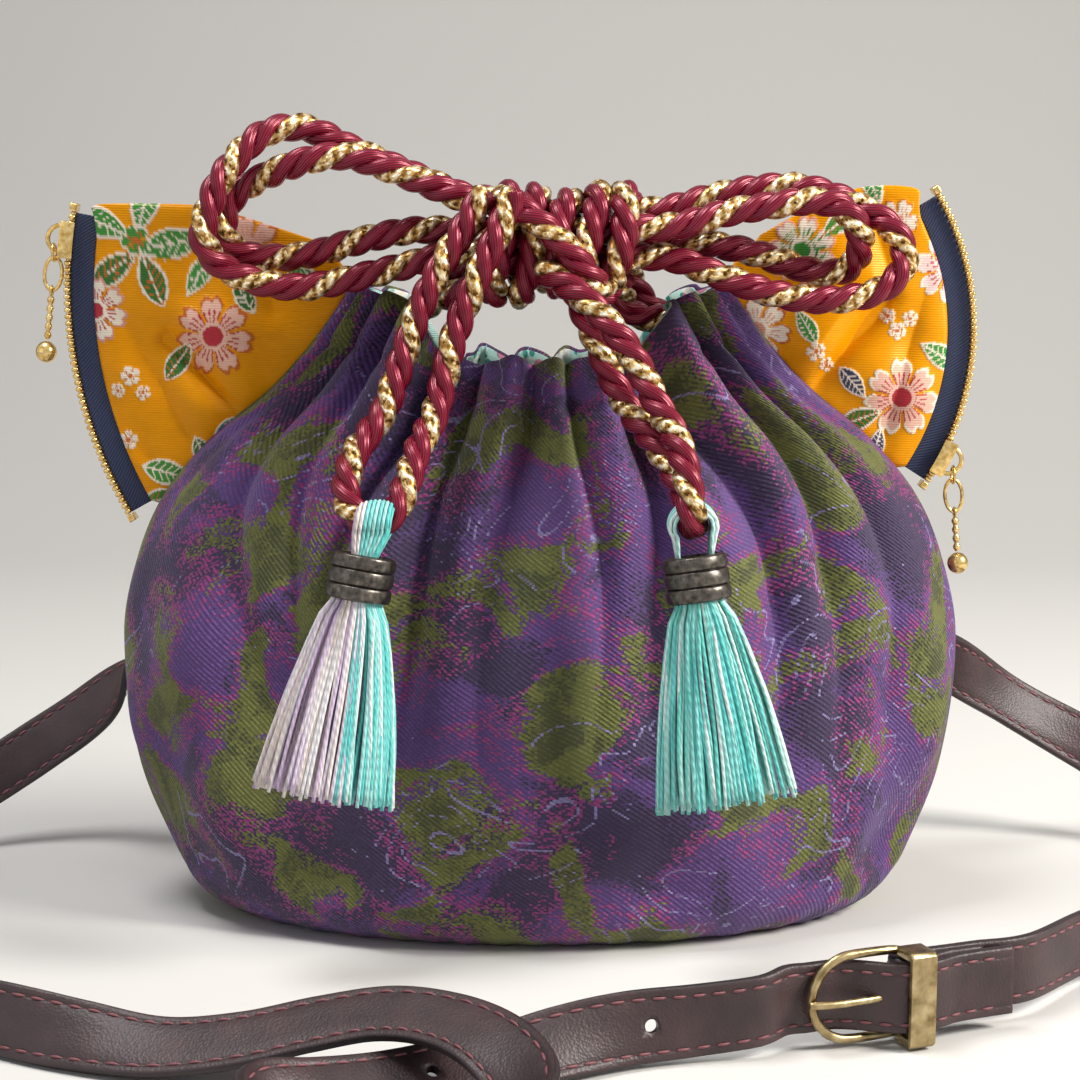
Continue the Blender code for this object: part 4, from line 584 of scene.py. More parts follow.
def make_pewter():
    material, tree, shader = start_material("cast_pewter_darkened", "#4B4742", 0.34, 0.9)
    place = add(tree, "ShaderNodeTexCoord").outputs["Object"]
    cloud = add(tree, "ShaderNodeTexNoise", {"Vector": place, "Scale": 700.0, "Detail": 4.0}).outputs["Fac"]
    add(tree, "ShaderNodeValToRGB", {"Fac": cloud}, to=shader.inputs["Base Color"],
        stops=[(0.3, "#37332F"), (0.6, "#66605A"), (0.8, "#8A8278")])
    add(tree, "ShaderNodeBump", {"Height": cloud, "Distance": 0.05 * MM}, to=shader.inputs["Normal"])
    return material


pewter = make_pewter()


def make_collar(side_name, tassel):
    collar, _, down, across, front = tassel_axes(tassel)
    fine = smooth_line(COLLAR_PROFILE, 0.12)
    profile = np.concatenate([fine, np.array([(10.4, 5.9), (5.2, 5.8), (0.1, 5.9)])]) * MM
    angle = 2.0 * np.pi * np.arange(48) / 48
    ring = across * np.cos(angle)[:, None] + front * np.sin(angle)[:, None]
    points = (collar + down * (profile[:, 0] - 0.5 * COLLAR_LENGTH)[None, :, None]
              + ring[:, None] * profile[:, 1][None, :, None])
    pile = Pile()
    if len(profile) % 2:
        points = np.concatenate([points, points[:, -1:] * 0.5 + points[:, :1] * 0.5], axis=1)
    pile.net(points, 0.0, 0.0, ringed=True)
    return pile.make("tassel_ribs_" + side_name, [pewter],
                     replaces=["tassel_collar_" + side_name])


for side, start_phase in (("left", 0.0), ("right", 2.0)):
    threads = make_tassel(side, TASSELS[side])
    ribs = make_collar(side, TASSELS[side])
    line = smooth_line(into_knot(CORD_ROUTES["tail_" + side]), CORD_STEP)
    pile = Pile()
    lay_cord(pile, line, start_phase)
    tail = pile.make("tail_%s_cord" % side, CORD_FINISHES, replaces=["tail_" + side])

# %% [markdown]
# ## Jacquard cloth
#
# The pouch is cut from a heavy jacquard: large olive leaves on a violet ground. A loom can change
# colour only from thread to thread, so each patch has a broken edge, and specks of magenta weft
# show along it. All patches are read at places rounded to whole threads, which gives that look.

# %% Jacquard
THREAD_MM = 0.62


def make_jacquard():
    material, tree, shader = start_material("violet_olive_jacquard", "#56376F", 0.74, Sheen_Weight=0.12)
    place = add(tree, "ShaderNodeUVMap", uv_map="places").outputs["UV"]
    in_mm = add(tree, "ShaderNodeVectorMath", {0: place, 1: (1.0 / MM, 1.0 / MM, 0.0)},
                operation="MULTIPLY").outputs[0]
    threads = add(tree, "ShaderNodeVectorMath", {0: in_mm, 1: (THREAD_MM, 0.8 * THREAD_MM, 1.0)},
                  operation="SNAP").outputs[0]
    speck = add(tree, "ShaderNodeTexWhiteNoise", {"Vector": threads}).outputs["Value"]

    def cloud(size_mm, shift, detail=3.0):
        moved = add(tree, "ShaderNodeVectorMath", {0: threads, 1: (shift, 2.0 * shift, shift)},
                    operation="ADD")
        noise = add(tree, "ShaderNodeTexNoise", {"Vector": moved.outputs[0], "Scale": 1.0 / size_mm,
                                                 "Detail": detail, "Distortion": 0.6})
        return noise.outputs["Fac"]

    def above(field, level, scatter):
        """One where the field is over a level, with threads scattered across the border."""
        loose = add(tree, "ShaderNodeMath", {0: speck, 1: scatter, 2: field}, operation="MULTIPLY_ADD")
        return add(tree, "ShaderNodeMath", {0: loose.outputs[0], 1: level + 0.5 * scatter},
                   operation="GREATER_THAN").outputs[0]

    def both(one, other):
        return add(tree, "ShaderNodeMath", {0: one, 1: other}, operation="MULTIPLY").outputs[0]

    leaf = cloud(24.0, 3.0)
    drawn = add(tree, "ShaderNodeMath", {0: cloud(30.0, 40.0, 1.0), 1: 13.0},
                operation="MULTIPLY").outputs[0]
    ring = add(tree, "ShaderNodeMath", {0: drawn, 1: 0.5}, operation="PINGPONG").outputs[0]
    outline = add(tree, "ShaderNodeMath", {0: ring, 1: 0.034}, operation="LESS_THAN").outputs[0]
    layers = [
        (above(cloud(34.0, 11.0), 0.51, 0.10), "#3A2850"),
        (both(above(leaf, 0.505, 0.15), above(cloud(15.0, 7.0), 0.44, 0.5)), "#8C3474"),
        (above(leaf, 0.545, 0.06), "#6A6E30"),
        (both(above(leaf, 0.58, 0.10), above(cloud(12.0, 23.0), 0.52, 0.12)), "#484C22"),
        (both(outline, above(cloud(38.0, 61.0), 0.545, 0.03)), "#8E83B4"),
    ]
    colour = linear("#5E3D80")
    for mask, hex_colour in layers:
        colour = add(tree, "ShaderNodeMix", {0: mask, 6: colour, 7: linear(hex_colour)},
                     data_type="RGBA").outputs[2]
    twill = striped(tree, place, 620.0, 700.0)
    shade = add(tree, "ShaderNodeMath", {0: both(twill, speck), 1: 0.60, 2: 0.68},
                operation="MULTIPLY_ADD").outputs[0]
    dark = add(tree, "ShaderNodeVectorMath", {0: colour, "Scale": shade}, operation="SCALE").outputs[0]
    tree.links.new(dark, shader.inputs["Base Color"])
    add(tree, "ShaderNodeBump", {"Height": both(twill, speck), "Distance": 0.30 * MM},
        to=shader.inputs["Normal"])
    return material


jacquard = make_jacquard()

# %% [markdown]
# ## The gathered pouch
#
# The walls follow the CAD's sections. The cloth's folds only go inward from them: deep folds run
# down from the mouth where the cord draws it together, finer gathers crowd at the mouth, and a
# stitched line under the mouth closes the cord's channel. Each fold starts at one share of the
# way across at the mouth and ends at another lower down, as read from the photograph.

# %% Pouch form
MOUTH_HEIGHT = 141.0 * MM
HORN_RISE = 15.0 * MM
WALL = 1.4 * MM
POUCH_SECTIONS = np.array([
    (0.00, 0.0800, 0.0420), (0.03, 0.0870, 0.0480), (0.08, 0.0930, 0.0525), (0.23, 0.1020, 0.0580),
    (0.44, 0.1052, 0.0585), (0.57, 0.1010, 0.0540), (0.67, 0.0940, 0.0485), (0.76, 0.0820, 0.0425),
    (0.84, 0.0670, 0.0360), (0.92, 0.0560, 0.0305), (1.00, 0.0470, 0.0260)])
# Share across at the mouth and low down, width as a share, depth in mm before the gain
FRONT_FOLDS = [(0.14, 0.26, 0.030, 3.8), (0.225, 0.30, 0.020, 3.6), (0.310, 0.335, 0.022, 5.4),
               (0.397, 0.39, 0.020, 6.0), (0.48, 0.455, 0.018, 4.6), (0.554, 0.54, 0.018, 4.8),
               (0.632, 0.586, 0.024, 6.4), (0.705, 0.70, 0.020, 5.0), (0.79, 0.765, 0.020, 4.6),
               (0.875, 0.84, 0.026, 3.6)]
BACK_FOLDS = [(0.30, 0.33, 0.020, 4.0), (0.375, 0.40, 0.022, 5.8), (0.47, 0.47, 0.018, 4.4),
              (0.56, 0.545, 0.022, 5.4), (0.65, 0.63, 0.020, 4.6), (0.70, 0.68, 0.018, 3.6)]
FOLD_GAIN = 2.7
CLOTH_PER_TURN = 0.088
CLOTH_HEIGHT = 0.172


def smooth_step(low, high, value):
    share = np.clip((value - low) / (high - low), 0.0, 1.0)
    return share * share * (3.0 - 2.0 * share)


def eased(table, column, at):
    """Smooth curve through one column of a table whose first column rises."""
    x, y = table[:, 0], table[:, column]
    order = np.arange(len(x))
    before, after = np.maximum(order - 1, 0), np.minimum(order + 1, len(x) - 1)
    slope = (y[after] - y[before]) / (x[after] - x[before])
    at = np.clip(at, x[0], x[-1])
    i = np.clip(np.searchsorted(x, at, side="right") - 1, 0, len(x) - 2)
    span = x[i + 1] - x[i]
    t = (at - x[i]) / span
    return ((2 * t**3 - 3 * t * t + 1) * y[i] + (t**3 - 2 * t * t + t) * span * slope[i]
            + (-2 * t**3 + 3 * t * t) * y[i + 1] + (t**3 - t * t) * span * slope[i + 1])


def mouth_height(turn):
    return MOUTH_HEIGHT + HORN_RISE * smooth_step(0.5, 0.8, np.abs(np.cos(turn)))


def pouch_point(turn, share, inward):
    half_width, half_depth = eased(POUCH_SECTIONS, 1, share), eased(POUCH_SECTIONS, 2, share)
    out = unit(np.stack([np.cos(turn) / half_width, np.sin(turn) / half_depth, 0.0 * turn], -1))
    nominal = np.stack([half_width * np.cos(turn), half_depth * np.sin(turn),
                        share * mouth_height(turn)], -1)
    return nominal - out * inward[..., None]


def fold_depth(side, share, folds):
    """How far folds, gathers, channel and seams draw the wall in, side running from 0 to 1."""
    still = smooth_step(0.0, 0.08, side) * smooth_step(0.0, 0.08, 1.0 - side)
    grows = smooth_step(0.06, 0.66, share) * (1.0 - 0.35 * smooth_step(0.9, 1.0, share))
    depth = 0.0
    for top, low, width, deep in folds:
        sway = 0.006 * np.sin(8.0 * share + 40.0 * top)
        middle = low + (top - low) * smooth_step(0.25, 1.0, share) + sway
        wide = width * (0.9 + 1.7 * (1.0 - share))
        depth = depth + FOLD_GAIN * deep * np.exp(-np.abs((side - middle) / wide) ** 1.15) * grows
    gathers = 0.5 - 0.5 * np.cos(2.0 * np.pi * (17.0 * side + 0.3 * np.sin(19.0 * side)))
    depth = depth + (3.0 + 1.0 * np.sin(31.0 * side)) * gathers * smooth_step(0.62, 0.92, share)
    depth = depth + 1.3 * np.exp(-((share - 0.905) / 0.013) ** 2)
    waves = 1.0 + np.sin(2.0 * np.pi * (2.3 * side + 1.2 * share) + 5.0 * folds[0][1])
    depth = depth + 1.3 * waves * (1.0 - 0.6 * share) * smooth_step(0.02, 0.15, share)
    lumps = (np.sin(2.0 * np.pi * (5.2 * side - 1.1 * share) + 2.0)
             * np.sin(2.0 * np.pi * (2.1 * share + 1.7 * side)))
    depth = depth + (2.4 * (1.0 + lumps) * smooth_step(0.03, 0.12, share)
                     * (1.0 - smooth_step(0.3, 0.75, share)))
    pucker = 0.5 + 0.5 * np.sin(2.0 * np.pi * 23.0 * side + 4.0 * np.sin(14.0 * side))
    depth = depth + 1.0 * pucker * np.exp(-share / 0.045)
    ends = np.minimum(side, 1.0 - side)
    seam = (1.4 * np.clip(1.0 - ends / 0.012, 0.0, 1.0) ** 2
            + 0.9 * np.clip(1.0 - share / 0.012, 0.0, 1.0) ** 2)
    return (depth * still + seam) * MM


def rim_drop(depth, share):
    """How far the rim dips where the cloth is drawn in: the mouth's little pleats."""
    return 0.42 * np.minimum(depth, 9.0 * MM) * smooth_step(0.90, 1.0, share)


def cloth_places(turn, share):
    """Places on the flat cloth in metres: the pouch's widest round, and its height."""
    return turn * CLOTH_PER_TURN, share * CLOTH_HEIGHT


def make_panel(name, start, folds):
    heights = np.concatenate([np.linspace(0.0, 0.03, 7)[:-1], np.linspace(0.03, 1.0, 104)])
    side, share = np.meshgrid(np.linspace(0.003, 0.997, 214), heights)
    turn = start + np.pi * side
    depth = fold_depth(side, share, folds)
    rim = np.clip((share - 0.992) / 0.008, 0.0, 1.0)
    taper = 0.5 * WALL * (1.0 - np.sqrt(1.0 - 0.96 * rim**2))
    points = np.concatenate([pouch_point(turn, share, depth + taper),
                             pouch_point(turn, share, depth + WALL - taper)[:, ::-1]], axis=1)
    u, v = cloth_places(np.concatenate([turn, turn[:, ::-1], turn[:, :1]], axis=1),
                        np.concatenate([share, share, share[:, :1]], axis=1))
    points[..., 2] -= rim_drop(np.concatenate([depth, depth[:, ::-1]], axis=1),
                               np.concatenate([share, share], axis=1))
    pile = Pile()
    pile.net(points, np.concatenate([u, u[-1:]]), np.concatenate([v, v[-1:]]))
    pile.make(name + "_cloth", [jacquard], replaces=[name])


make_panel("front_panel", np.pi, FRONT_FOLDS)
make_panel("back_panel", 0.0, BACK_FOLDS)

# %% [markdown]
# ## Lining and base
#
# The lining is a thin printed cotton. It hangs just inside the wall and follows its folds, so that
# a little of its mint ground and small flowers shows in the mouth. The base is a stiffened oval.

# %% Lining and base
def make_floral_cotton():
    material, tree, shader = start_material("mint_floral_cotton", "#BFE5DA", 0.85)
    place = add(tree, "ShaderNodeUVMap", uv_map="places").outputs["UV"]
    spot = add(tree, "ShaderNodeTexVoronoi", {"Vector": place, "Scale": 105.0})
    small = add(tree, "ShaderNodeTexVoronoi", {"Vector": place, "Scale": 230.0})
    kind = add(tree, "ShaderNodeSeparateColor", {0: spot.outputs["Color"]}).outputs[0]
    petals = add(tree, "ShaderNodeValToRGB", {"Fac": kind},
                 stops=[(0.0, "#F4F4EE"), (0.4, "#E58CA6"), (0.75, "#5BB9B2")])
    petals.color_ramp.interpolation = "CONSTANT"
    colour = linear("#BFE5DA")
    for source, size, field in ((small, 0.32, "#3F9D94"), (spot, 0.44, None), (spot, 0.14, "#F6F1DC")):
        near = add(tree, "ShaderNodeMath", {0: source.outputs["Distance"], 1: size},
                   operation="LESS_THAN").outputs[0]
        top = linear(field) if field else petals.outputs["Color"]
        colour = add(tree, "ShaderNodeMix", {0: near, 6: colour, 7: top}, data_type="RGBA").outputs[2]
    tree.links.new(colour, shader.inputs["Base Color"])
    weave = striped(tree, place, 1500.0, 1500.0)
    add(tree, "ShaderNodeBump", {"Height": weave, "Distance": 0.08 * MM}, to=shader.inputs["Normal"])
    return material


floral_cotton = make_floral_cotton()
BASE_THICKNESS = 1.6 * MM
BASE_HALF_WIDTH = 0.0786
BASE_HALF_DEPTH = 0.0406


def make_lining():
    turn, share = np.meshgrid(2.0 * np.pi * np.arange(260) / 260, np.linspace(0.0, 1.0, 50))
    side = (turn % np.pi) / np.pi
    depth = np.where(turn < np.pi, fold_depth(side, share, BACK_FOLDS),
                     fold_depth(side, share, FRONT_FOLDS))
    layers = []
    for extra in (0.5 * MM, 1.3 * MM):
        layer = pouch_point(turn, share, depth + WALL + extra)
        lowest = BASE_THICKNESS + extra
        layer[..., 2] = lowest + (mouth_height(turn) - 0.8 * MM - lowest) * share - rim_drop(depth, share)
        layers.append(layer)
    points = np.concatenate([layers[0], layers[1][::-1]])
    u, v = cloth_places(np.append(turn[0], 2.0 * np.pi),
                        np.concatenate([share[:, 0], share[::-1, 0], [0.0]]))
    pile = Pile()
    pile.net(points, u, v[:, None])
    pile.make("lining_cloth", [floral_cotton], replaces=["lining"])


def make_base():
    sides = 120
    angle = 2.0 * np.pi * np.arange(sides) / sides
    rows = []
    for grow, height in ((0.985, 0.0), (0.995, 0.15), (1.0, 0.5), (1.0, 1.1), (0.995, 1.45), (0.985, 1.6)):
        rows.append(np.stack([BASE_HALF_WIDTH * grow * np.cos(angle),
                              BASE_HALF_DEPTH * grow * np.sin(angle), np.full(sides, height * MM)], 1))
    points = np.array(rows)
    pile = Pile()
    u = np.append(points[0, :, 0], points[0, 0, 0])
    pile.net(points, u, np.append(points[0, :, 1], points[0, 0, 1]))
    pile.make("base_oval", [jacquard], replaces=["base_panel"])


make_lining()
make_base()

# %% [markdown]
# ## Brocade
#
# The side pockets are golden brocade, a satin weave with coloured flowers floated on its face. The
# flowers are painted on the mesh point by point as tints, from the blossoms and leaves that are
# listed below, and stand a quarter of a millimetre proud, as the floats do. The satin's
# own fine lines run across.

# %% Brocade
def make_brocade():
    material, tree, shader = start_material("golden_brocade_satin", "#E39206", 0.34,
                                            Specular_Tint=linear("#FFD98A"))
    place = add(tree, "ShaderNodeUVMap", uv_map="places").outputs["UV"]
    tint = add(tree, "ShaderNodeAttribute", attribute_name="tint").outputs["Color"]
    lines = striped(tree, place, 60.0, 1700.0)
    slubs = add(tree, "ShaderNodeTexNoise", {"Vector": place, "Scale": 260.0, "Detail": 3.0}).outputs["Fac"]
    shade = add(tree, "ShaderNodeMath", {0: lines, 1: 0.14, 2: 0.80}, operation="MULTIPLY_ADD").outputs[0]
    warm = add(tree, "ShaderNodeMath", {0: slubs, 1: 0.22, 2: shade}, operation="MULTIPLY_ADD").outputs[0]
    colour = add(tree, "ShaderNodeVectorMath", {0: tint, "Scale": warm}, operation="SCALE").outputs[0]
    tree.links.new(colour, shader.inputs["Base Color"])
    add(tree, "ShaderNodeBump", {"Height": lines, "Distance": 0.05 * MM}, to=shader.inputs["Normal"])
    return material


brocade = make_brocade()
GOLD = linear("#E89600", alpha=False)
CREAM, PINK, ROSE, CRIMSON = "#EFE3D2", "#E7B7A6", "#D9998C", "#B0213F"
GREEN, DEEP_GREEN, TEAL, NAVY, RUST = "#2F8A3C", "#1F6A34", "#3E8F86", "#27365F", "#C4652C"
# Kind, x, z, size in mm, turn in degrees, then the colours of its field, its edge and its heart
LEFT_MOTIFS = [
    ("leaf", -91.5, 166.0, 8.5, 12, GREEN, CREAM, CREAM),
    ("leaf", -97.0, 176.0, 8.0, 75, GREEN, CREAM, CREAM),
    ("leaf", -107.5, 171.0, 8.0, 155, GREEN, CREAM, CREAM),
    ("leaf", -105.0, 160.0, 7.5, 215, DEEP_GREEN, CREAM, RUST),
    ("leaf", -95.5, 157.5, 7.5, 292, DEEP_GREEN, CREAM, RUST),
    ("blossom", -99.5, 167.0, 4.0, 10, GREEN, CREAM, RUST),
    ("blossom", -71.8, 164.6, 9.5, 20, PINK, RUST, ROSE),
    ("blossom", -110.0, 149.8, 8.6, 60, CREAM, ROSE, CRIMSON),
    ("blossom", -80.4, 143.6, 10.5, 15, PINK, RUST, CRIMSON),
    ("leaf", -89.6, 137.4, 6.0, 235, DEEP_GREEN, CREAM, RUST),
    ("leaf", -84.0, 158.4, 6.0, 60, GREEN, CREAM, CREAM),
    ("leaf", -73.0, 153.5, 5.2, 300, DEEP_GREEN, CREAM, CREAM),
    ("leaf", -92.8, 109.4, 7.0, 165, GREEN, CREAM, CREAM),
    ("leaf", -94.0, 102.8, 6.2, 190, GREEN, CREAM, RUST),
    ("leaf", -78.0, 120.0, 5.2, 40, TEAL, CREAM, CREAM),
    ("leaf", -84.0, 114.0, 5.2, 115, DEEP_GREEN, CREAM, CREAM),
    ("bud", -101.5, 133.7, 2.6, 0, CREAM, CREAM, RUST),
    ("bud", -104.8, 130.0, 2.0, 30, CREAM, CREAM, RUST),
    ("bud", -98.5, 129.5, 2.0, 10, CREAM, CREAM, RUST),
    ("bud", -102.7, 117.6, 2.6, 50, CREAM, CREAM, RUST),
    ("bud", -105.0, 113.5, 2.2, 0, CREAM, CREAM, RUST), ("bud", -63.0, 176.0, 2.2, 0, CREAM, CREAM, RUST),
    ("leaf", -60.0, 158.0, 5.0, 20, GREEN, CREAM, CREAM)]
RIGHT_MOTIFS = [
    ("blossom", 101.0, 160.2, 8.8, 40, "#EBC9C6", CREAM, CRIMSON),
    ("blossom", 89.8, 128.3, 10.0, 15, PINK, CREAM, CRIMSON),
    ("blossom", 53.7, 144.8, 9.0, 70, CREAM, RUST, ROSE),
    ("blossom", 64.4, 164.6, 9.0, 0, CREAM, ROSE, GREEN),
    ("leaf", 99.5, 138.6, 6.4, 330, GREEN, CREAM, CREAM),
    ("leaf", 79.7, 123.0, 6.0, 200, DEEP_GREEN, CREAM, RUST),
    ("leaf", 77.5, 132.0, 5.2, 130, NAVY, CREAM, CREAM),
    ("leaf", 84.0, 116.6, 4.6, 255, NAVY, CREAM, CREAM),
    ("leaf", 45.8, 136.0, 5.2, 220, TEAL, CREAM, CREAM),
    ("leaf", 65.6, 146.0, 5.0, 300, GREEN, CREAM, CREAM),
    ("leaf", 73.0, 171.0, 5.4, 40, GREEN, CREAM, RUST),
    ("leaf", 81.7, 180.0, 5.4, 110, GREEN, CREAM, CREAM),
    ("bud", 68.0, 139.9, 2.6, 0, CREAM, CREAM, RUST), ("bud", 88.4, 144.8, 2.4, 20, CREAM, CREAM, RUST),
    ("bud", 91.6, 147.8, 2.2, 50, CREAM, CREAM, RUST), ("bud", 58.0, 130.0, 2.2, 0, CREAM, CREAM, RUST),
    ("bud", 71.0, 136.5, 2.0, 30, CREAM, CREAM, RUST), ("bud", 86.0, 148.5, 2.0, 0, CREAM, CREAM, RUST),
    ("blossom", 88.0, 172.0, 5.5, 25, CREAM, RUST, ROSE)]


def paint_motifs(x, z, motifs):
    """The tint at places in mm on a pocket, and one where a flower's threads are raised."""
    tint = np.broadcast_to(GOLD, (*x.shape, 3)).copy()
    raised = np.zeros(x.shape)
    for kind, centre_x, centre_z, size, turn, field, edge, heart in motifs:
        dx, dz = (x - centre_x) / size, (z - centre_z) / size
        turn = math.radians(turn)
        along = dx * math.cos(turn) + dz * math.sin(turn)
        across = dz * math.cos(turn) - dx * math.sin(turn)
        if kind == "leaf":
            width = 0.46 * (1.0 - along**2) * (1.0 + 0.25 * along)
            inside = (np.abs(across) < width) & (np.abs(along) < 1.0)
            border = inside & ((np.abs(across) > width - 0.09) | (np.abs(across) < 0.035))
            veins = np.abs((4.0 * along + 3.0 * np.abs(across)) % 1.0 - 0.5) < 0.10
            core = inside & veins & (np.abs(across) < 0.7 * width)
        else:
            reach = np.hypot(dx, dz)
            petals = 5.0 if kind == "bud" or size < 6.0 else 7.0
            petal = ((np.arctan2(across, along) / (2.0 * np.pi) * petals) % 1.0) - 0.5
            rim = 0.52 + 0.48 * np.cos(np.pi * petal) ** 0.55 - 0.13 * np.exp(-(petal / 0.09) ** 2)
            inside = (reach < rim) & ((np.abs(petal) < 0.43) | (reach < 0.35))
            border = inside & (reach > rim - (0.10 if kind == "blossom" else 0.0))
            core = inside & ((reach < 0.24) | ((np.abs((petal * 4.0) % 1.0 - 0.5) < 0.16)
                                               & (reach > 0.32) & (reach < 0.62)))
        for mask, colour in ((inside, field), (border, edge), (core, heart)):
            tint[mask] = linear(colour, alpha=False)
        raised[inside] = 1.0
    return tint, raised


# %% [markdown]
# ## Side pockets
#
# Each pocket reaches from the pouch's side seam out to its curved zip. It is two layers of
# brocade, a little padded by its seams, with soft creases where it is pulled toward the pouch. The
# arcs of the zips are the CAD's own.

# %% Side pockets
ZIPS = {
    "left": {"side": -1.0, "foot_below": 0.0423, "foot_out": 0.0066, "radius": 0.1115,
             "top": 169.0, "bottom": 209.0},
    "right": {"side": 1.0, "foot_below": 0.0342, "foot_out": 0.0051, "radius": 0.0678,
              "top": 31.0, "bottom": -33.0},
}
POCKETS = {
    "left": {"below": 0.0398, "inner_top": (-0.0519, 0.0248), "motifs": LEFT_MOTIFS,
             "top_edge": [(0.39, 0.0046), (0.56, 0.0059), (1.00, 0.0031)],
             "creases": [((-92, 143), (-73, 122), 2.3, 1.7), ((-86, 147), (-68, 127), 4.0, -0.7),
                         ((-106, 152), (-86, 116), 4.0, 1.2), ((-70, 178), (-66, 150), 4.0, 1.0),
                         ((-112, 128), (-90, 104), 3.0, 1.0)]},
    "right": {"below": 0.0305, "inner_top": (0.0543, 0.0273), "motifs": RIGHT_MOTIFS,
              "top_edge": [(0.36, 0.0051), (0.67, 0.0073), (1.00, 0.0047)],
              "creases": [((86, 153), (66, 128), 2.6, 1.7), ((82, 158), (62, 134), 4.0, -0.7),
                          ((98, 165), (84, 112), 4.0, 1.2), ((80, 180), (86, 160), 3.5, 1.2),
                          ((66, 172), (56, 140), 4.0, 0.9)]},
}
TAPE_BAND = 5.5 * MM
TEETH_HEIGHT = 1.8 * MM
HALF_THICK, HALF_EDGE = 4.2 * MM, 1.0 * MM
CREASE_GAIN = 2.2


def side_line(height):
    return eased(POUCH_SECTIONS, 1, height / (MOUTH_HEIGHT + HORN_RISE))


def zip_point(zip_set, degrees, inward, across):
    """Points at angles on a zip's arc, moved toward its centre and across it."""
    height = MOUTH_HEIGHT - zip_set["foot_below"]
    foot = np.array((zip_set["side"] * (side_line(height) + zip_set["foot_out"]), height))
    low = math.radians(zip_set["bottom"])
    centre = foot - zip_set["radius"] * np.array((math.cos(low), math.sin(low)))
    angle = np.radians(degrees)
    reach = zip_set["radius"] - inward
    x, z = centre[0] + reach * np.cos(angle), centre[1] + reach * np.sin(angle)
    return np.stack(np.broadcast_arrays(x, across, z), -1)


def make_pocket(side_name):
    zip_set, pocket = ZIPS[side_name], POCKETS[side_name]
    sign = zip_set["side"]
    band = TEETH_HEIGHT + TAPE_BAND
    low = MOUTH_HEIGHT - pocket["below"]
    inner_top = np.array((pocket["inner_top"][0], 0.0, MOUTH_HEIGHT + pocket["inner_top"][1]))
    zip_top = zip_point(zip_set, zip_set["top"], band, 0.0)
    knots = [inner_top + (zip_top - inner_top) * share + (0.0, 0.0, rise)
             for share, rise in pocket["top_edge"]]
    bow = smooth_line([inner_top] + knots + [zip_top], 0.5 * MM)
    up, out = np.meshgrid(np.linspace(0.0, 1.0, 172), np.linspace(0.0, 1.0, 158), indexing="ij")
    height = low + (inner_top[2] - low) * up
    edge = side_line(np.minimum(height, MOUTH_HEIGHT + HORN_RISE)) - 2.2 * MM
    inner_x = sign * (edge + smooth_step(0.8, 1.0, up) * (abs(inner_top[0]) - edge))
    inner = np.stack([inner_x, 0.0 * up, height], -1)
    outer = zip_point(zip_set, zip_set["bottom"] + (zip_set["top"] - zip_set["bottom"]) * up, band, 0.0)
    place = inner + (outer - inner) * out[..., None]
    at = out * (len(bow) - 1)
    target = np.stack([np.interp(at, np.arange(len(bow)), bow[:, k]) for k in range(3)], -1)
    place = place + (target - place) * smooth_step(0.75, 1.0, up)[..., None]
    swell = np.sin(np.pi * out).clip(0.0) ** 0.7 * np.sin(np.pi * up).clip(0.0) ** 0.6
    half = HALF_EDGE + (HALF_THICK - HALF_EDGE) * swell
    x, z = place[..., 0] / MM, place[..., 2] / MM
    near = np.minimum(np.minimum(out, 1.0 - out) * 62.0, np.minimum(up, 1.0 - up) * 70.0)
    roll = 0.5 + 0.5 * np.sqrt(1.0 - (1.0 - np.clip(near / 1.4, 0.0, 1.0)) ** 2)
    faces, tints = [], []
    for way, shift in ((-1.0, 0.0), (1.0, 13.0)):
        tint, raised = paint_motifs(x + sign * shift, z - 0.6 * shift, pocket["motifs"])
        puff = 1.5 * np.sin(0.16 * x + 0.10 * z + way) * np.sin(0.15 * z - 0.06 * x)
        drop = 0.0
        for (ax, az), (bx, bz), wide, deep in pocket["creases"]:
            line = np.array((bx - ax, bz - az))
            t = ((x - ax) * line[0] + (z - az) * line[1]) / line.dot(line)
            t = np.clip(t, 0.0, 1.0)
            gap = np.hypot(x - ax - line[0] * t, z - az - line[1] * t)
            drop = drop + CREASE_GAIN * deep * np.exp(-np.abs(gap / wide) ** 1.3)
        inside = smooth_step(0.0, 1.0, swell)
        depth = half * roll + ((puff - drop) * inside + 0.22 * raised * np.minimum(near / 2.0, 1.0)) * MM
        face = place.copy()
        face[..., 1] = way * np.maximum(depth, 0.4 * MM)
        faces.append(face)
        tints.append(tint)
    points = np.concatenate([faces[0], faces[1][:, ::-1]], axis=1)
    u = np.concatenate([place[..., 0], place[:, ::-1, 0], place[:, :1, 0]], axis=1)
    v = np.concatenate([place[..., 2], place[:, ::-1, 2], place[:, :1, 2]], axis=1)
    pile = Pile()
    pile.net(points, np.concatenate([u, u[-1:]]), np.concatenate([v, v[-1:]]),
             np.concatenate([tints[0], tints[1][:, ::-1]], axis=1))
    piece = pile.make("ear_brocade_" + side_name, [brocade],
                      replaces=["ear_pocket_" + side_name])


for side in ZIPS:
    make_pocket(side)

# %% [markdown]
# ## Zips
#
# Each zip has two navy woven tapes with a corded edge, and a row of small brass teeth on each. Every
# tooth is its own rounded block, because a zip's glitter comes from each tooth catching the
# light by itself. The two rows are half a tooth apart, so that they mesh.

